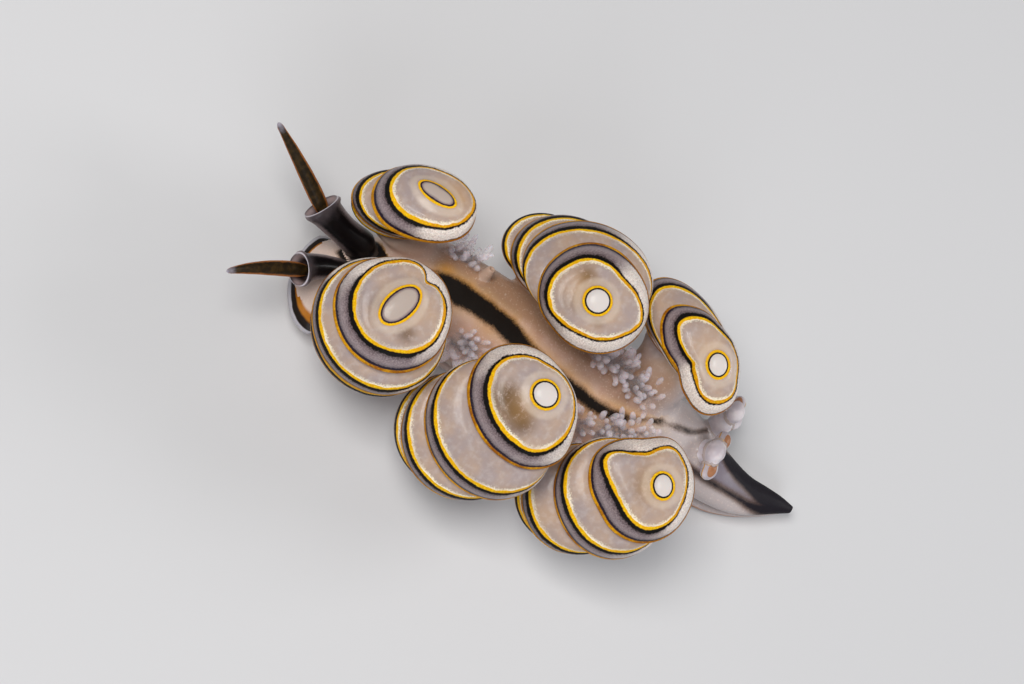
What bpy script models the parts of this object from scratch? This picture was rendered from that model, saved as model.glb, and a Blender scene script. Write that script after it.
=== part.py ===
"""A Doto sea slug with ringed cerata, life size, as a still museum model.

The slug stands on its sole with the head towards -Y and the tail towards +Y.
All sizes below are millimetres; the meshes are scaled to metres at the end.
Every body lobe, ceras, rhinophore and gill tuft is a solid of its own, and
neighbouring solids are kept apart by a thin, even cut.
"""
import random

import bpy
import bmesh
import numpy as np

# Sizes in millimetres

MM = 0.001                  # one millimetre in Blender's metres
GAP = 0.30                  # cut between neighbouring solids
SOLE_TOP = 0.55             # thickness of the foot slab
BELLY = SOLE_TOP + GAP      # underside of the trunk above the foot

HEAD_START = -8.20          # front end of the trunk
HEAD_CUT = -6.60            # the trunk is parted here into head and body
TAIL_CUT = 8.10             # and here into body and tail
TAIL_END = 11.62

TRUNK_SEGMENTS = 24
CERAS_SEGMENTS = 20
SMALL_CERAS_SEGMENTS = 14
SHEATH_SEGMENTS = 14
CLUB_SEGMENTS = 10
FILAMENT_SEGMENTS = 5
VEIL_SEGMENTS = 28

# EXACT drops the head's body where the thin veil enters it, so all unions and
# cuts here use this solver. Every solid that they join is closed.
SOLVER = "MANIFOLD"

# Trunk stations: y, centre x, half width, height of the back
TRUNK = [
    (-8.20, 1.28, 0.55, 1.45),
    (-7.95, 1.16, 0.95, 1.72),
    (-7.50, 0.95, 1.22, 2.10),
    (-7.00, 0.70, 1.32, 2.52),
    (-6.40, 0.40, 1.38, 2.92),
    (-5.60, 0.05, 1.55, 3.30),
    (-4.60, -0.22, 1.64, 3.62),
    (-3.20, -0.25, 1.66, 3.80),
    (-1.00, -0.15, 1.78, 3.86),
    (1.40, 0.10, 1.76, 3.72),
    (2.80, -0.16, 2.00, 3.56),
    (4.20, -0.22, 1.84, 3.30),
    (5.40, -0.29, 1.60, 3.05),
    (6.60, -0.42, 1.32, 2.72),
    (7.60, -0.40, 1.12, 2.25),
    (8.60, -0.32, 0.94, 1.78),
    (9.60, -0.34, 0.74, 1.52),
    (10.40, -0.55, 0.56, 1.36),
    (11.10, -0.78, 0.33, 1.22),
    (11.62, -0.92, 0.14, 1.06),
]

# Foot stations: y, centre x, half width of the sole
FOOT = [
    (-7.60, 1.02, 0.42),
    (-7.30, 0.88, 0.86),
    (-6.60, 0.52, 1.16),
    (-5.00, -0.12, 1.36),
    (-2.00, -0.20, 1.46),
    (1.00, 0.08, 1.46),
    (4.00, 0.04, 1.34),
    (6.50, -0.26, 1.14),
    (8.50, -0.26, 0.94),
    (10.00, -0.40, 0.66),
    (11.00, -0.73, 0.36),
    (11.60, -0.92, 0.12),
]

# Each large ceras is a leaning stack of tiers. `gold` and `lip` are the radii
# of the top tier's shoulder and rim, read every 30 degrees from the outward
# direction. Each lower tier is a shoulder and a rim: centre, tilt, reach,
# breadth and sometimes a turn in degrees. `neck` and `root` lead into the flank.
CERATA = {
    "ceras_left_1": dict(
        outward=(0.92, -0.39), tilt=(0.10, -0.20),
        gold_at=(2.33, -5.98, 6.72), lip_at=(2.42, -5.91, 6.12),
        gold=(1.42, 1.38, 1.44, 1.50, 1.46, 1.44, 1.34, 1.50, 1.46, 1.46, 1.44, 1.42),
        lip=(1.87, 1.88, 1.94, 1.93, 1.88, 1.92, 1.94, 1.84, 1.83, 1.94, 1.98, 1.90),
        notch=(184.0, 9.0, 0.13),
        spot_at=(2.37, -6.08, 7.12), spot=(0.70, 0.41, 3.0),
        tiers=(
            ((2.68, -5.86, 5.47), (0.10, -0.15), 1.98, 2.15),
            ((2.66, -5.80, 4.85), (0.12, -0.15), 2.09, 2.30),
            ((2.68, -5.70, 4.35), (0.16, -0.15), 1.92, 2.18),
            ((2.64, -5.66, 3.85), (0.18, -0.15), 1.92, 2.16),
        ),
        neck=((1.75, -5.50, 2.80), 0.95), root=((0.70, -5.30, 2.40), 0.90)),
    "ceras_left_2": dict(
        outward=(0.89, -0.44), tilt=(0.10, -0.17),
        gold_at=(2.79, -0.77, 7.14), lip_at=(2.86, -0.76, 6.51),
        gold=(1.25, 1.35, 1.55, 1.53, 1.45, 1.39, 1.35, 1.32, 1.48, 1.60, 1.48, 1.32),
        lip=(1.70, 1.80, 2.03, 2.12, 1.88, 1.77, 1.70, 1.88, 2.05, 2.12, 1.96, 1.76),
        spot_at=(2.43, -0.60, 7.56), spot=(0.34, 0.36, 0.0),
        tiers=(
            ((3.66, -1.04, 5.75), (0.12, -0.15), 1.95, 2.15),
            ((3.72, -0.96, 5.00), (0.15, -0.12), 2.08, 2.28),
            ((4.00, -1.33, 4.50), (0.20, -0.12), 2.00, 2.10),
            ((4.02, -1.30, 3.90), (0.22, -0.12), 2.05, 2.12),
            ((3.94, -1.56, 3.50), (0.25, -0.12), 1.85, 1.90),
            ((3.83, -1.60, 3.02), (0.30, -0.15), 1.80, 1.82),
        ),
        neck=((2.05, -0.95, 2.45), 0.92), root=((0.85, -0.55, 2.40), 0.90)),
    "ceras_left_3": dict(
        outward=(0.82, -0.565), tilt=(0.10, -0.20),
        gold_at=(2.86, 4.20, 6.69), lip_at=(2.86, 4.27, 6.09),
        gold=(1.09, 1.24, 1.45, 1.39, 1.26, 1.25, 1.36, 1.40, 1.00, 1.10, 1.62, 1.25),
        lip=(1.67, 1.79, 1.87, 1.83, 1.76, 1.77, 1.81, 1.88, 1.60, 1.74, 1.90, 1.80),
        spot_at=(2.76, 4.54, 7.08), spot=(0.33, 0.27, 64.0),
        tiers=(
            ((3.32, 3.86, 5.45), (0.12, -0.15), 1.75, 1.90),
            ((3.35, 3.96, 4.72), (0.15, -0.12), 1.92, 2.05),
            ((3.66, 3.33, 4.08), (0.20, -0.15), 1.80, 1.80),
            ((3.70, 3.28, 3.52), (0.20, -0.15), 1.82, 1.85),
            ((3.66, 3.10, 3.12), (0.25, -0.15), 1.62, 1.62),
            ((3.60, 3.04, 2.70), (0.30, -0.15), 1.56, 1.56),
        ),
        neck=((2.05, 3.60, 2.30), 0.85), root=((0.95, 3.95, 2.20), 0.82)),
    "ceras_right_1": dict(
        outward=(0.30, -0.95), tilt=(-0.15, -0.30),
        gold_at=(-1.46, -6.67, 6.50), lip_at=(-1.33, -6.65, 5.92),
        gold=(1.35, 1.18, 1.01, 0.98, 1.09, 1.27, 1.36, 1.16, 0.99, 0.98, 1.11, 1.31),
        lip=(1.75, 1.64, 1.43, 1.35, 1.47, 1.68, 1.70, 1.56, 1.42, 1.36, 1.46, 1.67),
        spot_at=(-1.52, -6.67, 6.88), spot=(0.60, 0.27, -27.0),
        tiers=(
            ((-1.36, -6.76, 5.30), (-0.10, -0.30), 1.72, 1.18),
            ((-1.37, -6.88, 4.70), (-0.10, -0.25), 1.76, 1.20),
            ((-1.26, -7.00, 4.25), (-0.05, -0.20), 1.45, 1.05),
            ((-1.29, -6.98, 3.84), (-0.05, -0.20), 1.36, 0.93),
        ),
        neck=((-1.16, -5.72, 3.05), 0.76), root=((-0.62, -5.40, 2.30), 0.78)),
    "ceras_right_2": dict(
        outward=(-0.39, -0.92), tilt=(0.20, -0.20),
        gold_at=(-1.20, -0.47, 7.31), lip_at=(-1.49, -0.36, 6.72),
        gold=(1.43, 1.53, 1.46, 1.22, 1.13, 1.22, 1.38, 1.62, 1.38, 1.16, 1.24, 1.37),
        lip=(1.85, 1.88, 1.84, 1.70, 1.74, 1.84, 1.90, 1.89, 1.80, 1.71, 1.77, 1.83),
        spot_at=(-1.12, -0.52, 7.72), spot=(0.34, 0.34, 0.0),
        tiers=(
            ((-2.14, -0.64, 6.15), (0.15, -0.20), 2.10, 1.60, 43.0),
            ((-2.54, -0.62, 5.60), (0.10, -0.20), 2.18, 1.70, 43.0),
            ((-2.67, -1.12, 5.10), (0.00, -0.20), 1.78, 1.50, 43.0),
            ((-2.82, -1.19, 4.60), (0.00, -0.25), 1.85, 1.56, 43.0),
            ((-2.93, -1.80, 4.20), (-0.05, -0.25), 1.40, 1.20, 43.0),
            ((-3.04, -1.80, 3.80), (-0.05, -0.30), 1.42, 1.22, 43.0),
        ),
        neck=((-1.95, -0.85, 2.85), 0.92), root=((-0.85, -0.45, 2.45), 0.90)),
    "ceras_right_3": dict(
        outward=(-0.44, -0.89), tilt=(0.15, -0.20),
        gold_at=(-1.64, 3.92, 7.08), lip_at=(-1.80, 3.96, 6.54),
        gold=(1.47, 0.75, 0.42, 0.46, 0.70, 1.30, 1.45, 1.18, 1.07, 1.05, 1.11, 1.39),
        lip=(2.00, 1.50, 1.01, 0.92, 1.30, 1.86, 1.84, 1.44, 1.27, 1.24, 1.37, 1.73),
        spot_at=(-1.66, 4.28, 7.40), spot=(0.33, 0.27, -32.0),
        tiers=(
            ((-2.44, 3.56, 5.95), (0.10, -0.20), 1.72, 1.16),
            ((-2.80, 3.46, 5.35), (0.05, -0.20), 1.84, 1.24),
            ((-3.00, 3.50, 4.85), (0.00, -0.20), 1.50, 1.08),
            ((-3.10, 3.54, 4.35), (0.00, -0.20), 1.44, 1.06),
        ),
        neck=((-1.78, 4.42, 2.95), 0.90), root=((-0.90, 4.40, 2.30), 0.80)),
}

# Each small ceras is a short club with oval tubercles: centre and radius
TUBERCLE_LONG = 1.35        # how much longer than wide a tubercle is
SMALL_CERATA = {
    "ceras_left_4": dict(
        base=(-0.45, 7.05, 2.00), tip=(-0.52, 7.22, 3.02), radius=0.46,
        tubercles=(((0.04, 7.40, 2.84), 0.31), ((-0.97, 7.34, 2.94), 0.29), ((-0.50, 7.24, 3.08), 0.36))),
    "ceras_right_4": dict(
        base=(-1.15, 7.05, 1.75), tip=(-2.10, 7.36, 2.62), radius=0.42,
        tubercles=(((-2.20, 7.36, 2.84), 0.32), ((-2.58, 7.46, 2.52), 0.26), ((-2.05, 7.62, 2.44), 0.26))),
}

# Rhinophores: the collar runs from base past mid to rim, and the club on from
# there past club_mid to its tip. Then come the radii of the collar and of its cup.
HORNS = {
    "left": dict(base=(0.95, -6.72, 2.36), mid=(1.15, -7.95, 2.75), rim=(1.92, -8.60, 3.02),
                 club_mid=(2.62, -9.85, 3.56), tip=(3.33, -10.68, 3.35),
                 collar=(0.38, 0.38, 0.38, 0.39, 0.41, 0.45, 0.52, 0.61), cup=(0.59, 0.51, 0.42, 0.30)),
    "right": dict(base=(-0.12, -6.88, 2.36), mid=(0.08, -7.93, 3.13), rim=(-0.23, -9.04, 3.32),
                  club_mid=(-0.89, -10.21, 3.67), tip=(-1.58, -11.70, 4.00),
                  collar=(0.48, 0.48, 0.47, 0.46, 0.47, 0.51, 0.57, 0.64), cup=(0.62, 0.54, 0.44, 0.30)),
}
CUP_DEPTHS = (-0.20, 0.00, 0.20, 0.42)
CLUB_RADII = (0.18, 0.24, 0.26, 0.26, 0.25, 0.24, 0.22, 0.20, 0.18, 0.15, 0.12, 0.07)
CLUB_SINK = 0.02            # how far the club stands down into its cup

# Oral veil: a flat lobe, with how far each of its loops reaches, drops and is thick
VEIL = dict(centre=(1.42, -7.36), face=(0.28, -0.96), half=1.68, depth=1.02, back=0.55, level=1.30)
VEIL_LOOPS = ((0.30, 0.00, 0.62), (0.70, 0.10, 0.58), (0.92, 0.22, 0.44), (1.00, 0.27, 0.20))
MOUTH = (1.20, -7.85, 1.02)
LIP_AHEAD, LIP_APART, LIP_SIZE = 0.30, 0.17, (0.26, 0.42, 0.30)
SLIT_AHEAD, SLIT_SIZE = 0.62, (0.06, 0.24, 0.30)

# Gill tufts: y and angle on the trunk's side at each end. The angle runs from
# 0 degrees on the animal's left flank over the back to 180 on its right.
GILLS = {
    "gill_left_1": ((-3.25, 46.0), (-2.45, 44.0)),
    "gill_left_2": ((1.45, 48.0), (2.10, 56.0)),
    "gill_left_3": ((3.15, 68.0), (5.00, 80.0)),
    "gill_right_1": ((-4.70, 130.0), (-3.95, 132.0)),
    "gill_right_2": ((1.35, 126.0), (2.20, 118.0)),
    "gill_right_3": ((2.95, 104.0), (4.10, 101.0)),
}
GILL_LIFT = 0.48            # height of a tuft's ridge above the trunk's skin
RIDGE_RADIUS = 0.27
FILAMENT_LENGTH = 0.58
FILAMENT_RADIUS = 0.15
FILAMENT_SPACING = 0.33
FILAMENT_LEANS = (-0.75, 0.05, 0.80)

# Anal papilla: y and angle on the trunk's side, with its radii up the stalk
PAPILLA_AT = (-3.12, 118.0)
PAPILLA_HEIGHTS = (0.10, 0.50, 0.76)
PAPILLA_RADII = (0.28, 0.25, 0.14)

COLOURS = {
    "body": (0.80, 0.60, 0.47, 1.0),
    "foot": (0.78, 0.66, 0.58, 1.0),
    "tail": (0.40, 0.36, 0.44, 1.0),
    "ceras": (0.78, 0.70, 0.60, 1.0),
    "sheath": (0.20, 0.17, 0.20, 1.0),
    "rhinophore": (0.20, 0.11, 0.05, 1.0),
    "gill": (0.82, 0.78, 0.86, 1.0),
    "papilla": (0.86, 0.76, 0.70, 1.0),
}
SKIN_ROUGHNESS = 0.35


def unit(v):
    """Return the vector scaled to length one."""
    v = np.asarray(v, float)
    return v / np.linalg.norm(v)


def circle(segments):
    """Angles of evenly spaced points round a ring."""
    return np.linspace(0, 2 * np.pi, segments, endpoint=False)


def through(t, knots, values):
    """Smooth curve through the knots, with a chord slope at each knot."""
    knots = np.asarray(knots, float)
    values = np.asarray(values, float)
    slope = np.gradient(values, knots, axis=0)
    t = np.clip(t, knots[0], knots[-1])
    i = np.clip(np.searchsorted(knots, t, side="right") - 1, 0, len(knots) - 2)
    h = knots[i + 1] - knots[i]
    f = (t - knots[i]) / h
    return ((2 * f**3 - 3 * f**2 + 1) * values[i] + (f**3 - 2 * f**2 + f) * h * slope[i]
            + (3 * f**2 - 2 * f**3) * values[i + 1] + (f**3 - f**2) * h * slope[i + 1])


def around(angles, values):
    """Smooth closed curve through values spaced evenly round the circle."""
    values = np.asarray(values, float)
    n = len(values)
    x = (angles / (2 * np.pi) * n) % n
    i = np.floor(x).astype(int) % n
    f = x - np.floor(x)
    a, b, c, d = values[(i - 1) % n], values[i], values[(i + 1) % n], values[(i + 2) % n]
    return 0.5 * (2 * b + (c - a) * f + (2 * a - 5 * b + 4 * c - d) * f**2
                  + (3 * b - a - 3 * c + d) * f**3)


def frame_of(normal, outward):
    """Two directions square to normal: along the outward bearing, and across it."""
    n = unit(normal)
    s = np.array([outward[0], outward[1], 0.0])
    along = unit(s - n * np.dot(s, n))
    return along, np.cross(n, along)


def ring(centre, normal, outward, reach, breadth, angles):
    """Closed oval about centre, square to normal, measured from outward."""
    along, across = frame_of(normal, outward)
    return (np.asarray(centre, float) + np.outer(reach * np.cos(angles), along)
            + np.outer(breadth * np.sin(angles), across))


def mesh_object(name, points, faces):
    """Make an object from points and faces, in millimetres."""
    mesh = bpy.data.meshes.new(name)
    mesh.from_pydata([tuple(p) for p in points], [], faces)
    mesh.validate()
    obj = bpy.data.objects.new(name, mesh)
    bpy.context.scene.collection.objects.link(obj)
    return obj


def loft(name, rings, first=None, last=None):
    """Skin a row of rings and close both ends with a fan."""
    n = len(rings[0])
    first = rings[0].mean(axis=0) if first is None else np.asarray(first, float)
    last = rings[-1].mean(axis=0) if last is None else np.asarray(last, float)
    points = np.vstack([*rings, first, last])
    faces = []
    for r in range(len(rings) - 1):
        for k in range(n):
            a, b = r * n + k, r * n + (k + 1) % n
            faces.append((a, b, b + n, a + n))
    top, end, base = len(points) - 2, len(points) - 1, (len(rings) - 1) * n
    for k in range(n):
        faces.append((top, (k + 1) % n, k))
        faces.append((end, base + k, base + (k + 1) % n))
    obj = mesh_object(name, points, faces)
    face_out(obj)
    return obj


def face_out(obj):
    """Turn every face of a closed mesh outwards."""
    bm = bmesh.new()
    bm.from_mesh(obj.data)
    bmesh.ops.recalc_face_normals(bm, faces=bm.faces)
    if bm.calc_volume(signed=True) < 0:
        bmesh.ops.reverse_faces(bm, faces=bm.faces)
    bm.to_mesh(obj.data)
    bm.free()


def apply_modifiers(obj):
    """Give obj the mesh that its modifiers make."""
    bpy.context.view_layer.update()
    graph = bpy.context.evaluated_depsgraph_get()
    mesh = bpy.data.meshes.new_from_object(obj.evaluated_get(graph))
    obj.modifiers.clear()
    obj.data = mesh


def carve(obj, cutter):
    """Cut a closed solid out of obj, and keep the largest piece left."""
    mod = obj.modifiers.new("carve", "BOOLEAN")
    mod.operation = "DIFFERENCE"
    mod.solver = SOLVER
    mod.object = cutter
    apply_modifiers(obj)
    bpy.data.objects.remove(cutter)
    keep_largest(obj)


def fuse(obj, pieces):
    """Join closed solids to obj in one union, and keep the outer surface."""
    group = bpy.data.collections.new("pieces")
    bpy.context.scene.collection.children.link(group)
    for piece in pieces:
        bpy.context.scene.collection.objects.unlink(piece)
        group.objects.link(piece)
    mod = obj.modifiers.new("fuse", "BOOLEAN")
    mod.operation = "UNION"
    mod.solver = SOLVER
    mod.operand_type = "COLLECTION"
    mod.collection = group
    apply_modifiers(obj)
    for piece in list(group.objects):
        bpy.data.objects.remove(piece)
    bpy.data.collections.remove(group)
    keep_largest(obj)


def keep_largest(obj):
    """Keep the largest closed surface and drop any crumbs."""
    bm = bmesh.new()
    bm.from_mesh(obj.data)
    left, groups = set(bm.faces), []
    while left:
        stack = [left.pop()]
        group = []
        while stack:
            face = stack.pop()
            group.append(face)
            for edge in face.edges:
                for near in edge.link_faces:
                    if near in left:
                        left.remove(near)
                        stack.append(near)
        groups.append(group)
    groups.sort(key=lambda g: -sum(f.calc_area() for f in g))
    for group in groups[1:]:
        bmesh.ops.delete(bm, geom=group, context="FACES")
    loose = [v for v in bm.verts if not v.link_faces]
    bmesh.ops.delete(bm, geom=loose, context="VERTS")
    bm.to_mesh(obj.data)
    bm.free()


def trunk_ring(y, grow, angles):
    """Points of the trunk's cross-section at y, swollen by grow."""
    stations = np.array(TRUNK)
    x, half, back = through(y, stations[:, 0], stations[:, 1:])
    half, back, belly = half + grow, back + grow, BELLY - grow
    c, s = np.cos(angles), np.sin(angles)
    middle = belly + (back - belly) * 0.42
    wide = half * np.sign(c) * np.abs(c)**0.86
    up = (back - middle) * np.clip(s, 0, None)**0.92
    down = (middle - belly) * np.clip(-s, 0, None)**0.62
    return np.stack([x + wide, np.full_like(c, y), middle + up - down], axis=1)


def trunk(name, start, end, steps, grow=0.0):
    """Closed length of the trunk from start to end."""
    angles = circle(TRUNK_SEGMENTS)
    return loft(name, [trunk_ring(y, grow, angles) for y in np.linspace(start, end, steps)])


def clear_of_trunk(obj, extra=0.04):
    """Cut an organ back to an even gap above the skin of the trunk."""
    carve(obj, trunk("cutter", HEAD_START - GAP, TAIL_END + GAP, 44, GAP + extra))


def on_trunk(y, degrees):
    """A point on the trunk's skin, and the way straight out of the skin there."""
    before, at, after = trunk_ring(y, 0.0, np.radians([degrees - 2.0, degrees, degrees + 2.0]))
    return at, unit(np.cross((0, 1, 0), after - before))


def foot(name):
    """The flat creeping foot, with a rounded margin."""
    stations = np.array(FOOT)
    front, back = stations[0, 0], stations[-1, 0]
    body = np.linspace(front + 0.40, back - 0.40, 30)
    rings = []
    for y in [front, front + 0.15, *body, back - 0.15, back]:
        x, half = through(y, stations[:, 0], stations[:, 1:])
        half = max(half, 0.10)
        edge = min(0.16, 0.45 * half)
        outline = [(half - edge, 0.0), (half - 0.25 * edge, 0.06), (half, 0.20),
                   (half - 0.12 * edge, 0.40), (half - edge, SOLE_TOP)]
        other = [(-w, z) for w, z in reversed(outline)]
        section = [*outline, (0.0, SOLE_TOP), *other, (0.0, 0.0)]
        rings.append(np.array([(x + w, y, z) for w, z in section]))
    return loft(name, rings)


def oval(angles, reach, breadth, turn=0.0):
    """Radius of an oval whose long way is turned by so many degrees."""
    off = angles - np.radians(turn)
    return 1.0 / np.sqrt((np.cos(off) / reach)**2 + (np.sin(off) / breadth)**2)


def cap_rings(spec, shoulder, up, angles):
    """Rings of the top disc, from the knob out towards the shoulder."""
    at = np.array(spec["spot_at"])
    radius = oval(angles, *spec["spot"])
    knob = ring(at, up, spec["outward"], radius, radius, angles) - at
    collar = at + 1.25 * knob
    middle = shoulder.mean(axis=0)
    rings = [at + 0.85 * knob, collar - 0.07 * up]
    for f in (0.40, 0.78):
        flat = collar * (1 - f) + shoulder * f
        height = np.dot(flat - middle, up)[:, None]
        rings.append(flat + up * (0.14 * (1 - f) + 0.10 - height))
    return rings


def tiers(spec, angles):
    """Shoulder ring, rim ring and upward axis of each tier, from the top down."""
    up = unit((*spec["tilt"], 1.0))
    gold = around(angles, spec["gold"])
    lip = around(angles, spec["lip"])
    if "notch" in spec:
        at, width, depth = spec["notch"]
        off = (np.degrees(angles) - at + 180.0) % 360.0 - 180.0
        gold = gold * (1.0 - depth * np.exp(-(off / width)**2))
    stack = [(ring(spec["gold_at"], up, spec["outward"], gold, gold, angles),
              ring(spec["lip_at"], up, spec["outward"], lip, lip, angles), up)]
    shape = lip / lip.mean()
    ovals = []
    for i, (centre, tilt, *size) in enumerate(spec["tiers"]):
        radius = oval(angles, *size) * (1.0 + (shape - 1.0) * max(0.0, 0.35 - 0.1 * i))
        ovals.append(ring(centre, (*tilt, 1.0), spec["outward"], radius, radius, angles))
    for i in range(0, len(ovals), 2):
        stack.append((ovals[i], ovals[i + 1], unit((*spec["tiers"][i + 1][1], 1.0))))
    return stack


def ceras_rings(spec, angles):
    """Rings of one ceras, from the knob on top down to the root."""
    stack = tiers(spec, angles)
    rings = cap_rings(spec, stack[0][0], stack[0][2], angles)
    for i, (shoulder, rim, up) in enumerate(stack):
        out = rim - rim.mean(axis=0)
        out /= np.linalg.norm(out, axis=1)[:, None]
        rings += [shoulder, rim + 0.10 * (shoulder - rim), rim - 0.05 * up - 0.02 * out]
        if i + 1 < len(stack):
            below = stack[i + 1][0]
            room = np.linalg.norm(below - rim, axis=1)[:, None]
            tuck = rim - out * np.minimum(0.10 + 0.25 * room, 0.32) - up * np.minimum(0.30 * room, 0.16)
            rings += [tuck, 0.55 * tuck + 0.45 * below + 0.10 * room * up]
    rim, up = stack[-1][1:]
    last = np.array(spec["tiers"][-1][0])
    reach = spec["tiers"][-1][2]
    neck, neck_radius = spec["neck"]
    root, root_radius = spec["root"]
    away = unit(last - np.array(root))
    middle = 0.62 * last + 0.38 * np.array(neck) - 0.25 * up
    rings += [rim + 0.16 * (last - rim) - 0.22 * up,
              ring(middle, up + 0.6 * away, spec["outward"], 0.62 * reach, 0.66 * reach, angles),
              ring(neck, away + 0.35 * up, spec["outward"], neck_radius, neck_radius, angles),
              ring(root, away, spec["outward"], root_radius, root_radius, angles)]
    return rings


def ceras(name):
    """One large ceras, cut clear of the trunk."""
    spec = CERATA[name]
    top = np.array(spec["spot_at"]) + 0.04 * unit((*spec["tilt"], 1.0))
    obj = loft(name, ceras_rings(spec, circle(CERAS_SEGMENTS)), first=top)
    clear_of_trunk(obj)
    return obj


def ball(name, at, size):
    """An oval knob with its three half sizes."""
    bm = bmesh.new()
    bmesh.ops.create_icosphere(bm, subdivisions=2, radius=1.0)
    for v in bm.verts:
        v.co = [at[i] + v.co[i] * size[i] for i in range(3)]
    mesh = bpy.data.meshes.new(name)
    bm.to_mesh(mesh)
    bm.free()
    obj = bpy.data.objects.new(name, mesh)
    bpy.context.scene.collection.objects.link(obj)
    return obj


def small_ceras(name):
    """One small rear ceras: a short club with a few round tubercles."""
    spec = SMALL_CERATA[name]
    base, tip = np.array(spec["base"]), np.array(spec["tip"])
    angles = circle(SMALL_CERAS_SEGMENTS)
    rings = []
    for along, swell in ((0.0, 0.80), (0.35, 0.86), (0.62, 1.02), (0.84, 0.92), (0.96, 0.55)):
        radius = spec["radius"] * swell
        rings.append(ring(base + (tip - base) * along, tip - base, (1.0, 0.2), radius, radius, angles))
    obj = loft(name, rings, last=tip)
    fuse(obj, [ball("tubercle", at, (TUBERCLE_LONG * r, r, r)) for at, r in spec["tubercles"]])
    clear_of_trunk(obj)
    return obj


def sweep(name, path, radii, segments, bend=(0.0, 0.0, 1.0)):
    """A round tapering stalk along a path."""
    path = np.asarray(path, float)
    angles = circle(segments)
    rings = []
    for i, (p, r) in enumerate(zip(path, radii)):
        run = unit(path[min(i + 1, len(path) - 1)] - path[max(i - 1, 0)])
        side = unit(np.cross(run, bend))
        rings.append(p + r * (np.outer(np.cos(angles), side) + np.outer(np.sin(angles), np.cross(side, run))))
    return loft(name, rings)


def bend_path(start, middle, end, steps):
    """Points on a smooth arc from start, past middle, to end."""
    start, middle, end = (np.array(p, float) for p in (start, middle, end))
    f = np.linspace(0, 1, steps)[:, None]
    return start * (1 - f)**2 + 2 * middle * f * (1 - f) + end * f**2


def sheath(side):
    """The trumpet-shaped collar that the rhinophore stands in."""
    horn = HORNS[side]
    path = bend_path(horn["base"], horn["mid"], horn["rim"], len(horn["collar"]))
    obj = sweep("rhinophore_sheath_" + side, path, horn["collar"], SHEATH_SEGMENTS)
    inward = unit(path[-2] - path[-1])
    cup = [path[-1] + inward * depth for depth in CUP_DEPTHS]
    carve(obj, sweep("cup", cup, horn["cup"], SHEATH_SEGMENTS))
    clear_of_trunk(obj, 0.12)
    return obj


def club(side):
    """The slender club of the rhinophore."""
    horn = HORNS[side]
    collar = bend_path(horn["base"], horn["mid"], horn["rim"], len(horn["collar"]))
    start = collar[-1] - CLUB_SINK * unit(collar[-1] - collar[-2])
    path = bend_path(start, horn["club_mid"], horn["tip"], len(CLUB_RADII))
    return sweep("rhinophore_" + side, path, CLUB_RADII, CLUB_SEGMENTS)


def veil():
    """The flat oral veil, a rounded lobe that overhangs the mouth."""
    face, side = veil_axes()
    centre = np.array([*VEIL["centre"], 0.0])
    angles = circle(VEIL_SEGMENTS)
    reach = np.where(np.cos(angles) > 0, VEIL["depth"], VEIL["back"]) * np.cos(angles)
    loops = []
    for sign, order in ((0.5, VEIL_LOOPS), (-0.5, VEIL_LOOPS[::-1])):
        for out, drop, thick in order:
            level = VEIL["level"] - drop * (0.6 + 0.4 * np.cos(angles)) + sign * thick
            loops.append(centre + np.outer(reach * out, face) + np.outer(level, (0, 0, 1))
                         + np.outer(VEIL["half"] * np.sin(angles) * out, side))
    return loft("veil", loops)


def veil_axes():
    """Level directions straight ahead of the face, and across it."""
    face = unit((*VEIL["face"], 0.0))
    return face, np.array([-face[1], face[0], 0.0])


def head(name):
    """Head with its oral veil, lips and the slit of the mouth."""
    obj = trunk(name, HEAD_START, HEAD_CUT - GAP / 2, 12)
    face, side = veil_axes()
    lips = [ball("lip", MOUTH + side * apart + face * LIP_AHEAD, LIP_SIZE)
            for apart in (-LIP_APART, LIP_APART)]
    fuse(obj, [veil(), *lips])
    carve(obj, ball("slit", MOUTH + face * SLIT_AHEAD, SLIT_SIZE))
    return obj


def gill(name, seed):
    """A tuft of finger-like gill filaments on a low ridge."""
    rng = random.Random(seed)
    (y0, degrees0), (y1, degrees1) = GILLS[name]
    count = max(4, int((y1 - y0) / FILAMENT_SPACING) + 1)
    seats = [on_trunk(y0 + (y1 - y0) * f, degrees0 + (degrees1 - degrees0) * f)
             for f in np.linspace(0, 1, count)]
    spine = [at + out * GILL_LIFT for at, out in seats]
    run = unit(spine[-1] - spine[0])
    ends = [spine[0] - run * 0.22, *spine, spine[-1] + run * 0.22]
    radii = [RIDGE_RADIUS / 2, *[RIDGE_RADIUS] * count, RIDGE_RADIUS / 2]
    obj = sweep(name, ends, radii, 8)
    fingers = []
    for root, (_, out) in zip(spine, seats):
        side = np.cross(run, out)
        for lean in FILAMENT_LEANS:
            aim = unit(side * (lean + rng.uniform(-0.15, 0.15)) + run * rng.uniform(-0.4, 0.4) + out)
            size = FILAMENT_LENGTH * rng.uniform(0.85, 1.25)
            radius = FILAMENT_RADIUS * rng.uniform(0.9, 1.1)
            start = root + run * rng.uniform(-0.05, 0.05)
            path = [start + aim * (size * f) for f in (0.0, 0.5, 0.85, 1.0)]
            taper = [radius, radius, 0.95 * radius, 0.45 * radius]
            fingers.append(sweep("finger", path, taper, FILAMENT_SEGMENTS, (0.31, 0.95, 0.05)))
    fuse(obj, fingers)
    clear_of_trunk(obj)
    return obj


def papilla(name):
    """The short anal tube on the right of the back."""
    at, out = on_trunk(*PAPILLA_AT)
    path = [at + out * height for height in PAPILLA_HEIGHTS]
    obj = sweep(name, path, PAPILLA_RADII, 12, (0.3, 0.95, 0.0))
    clear_of_trunk(obj)
    return obj


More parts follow.
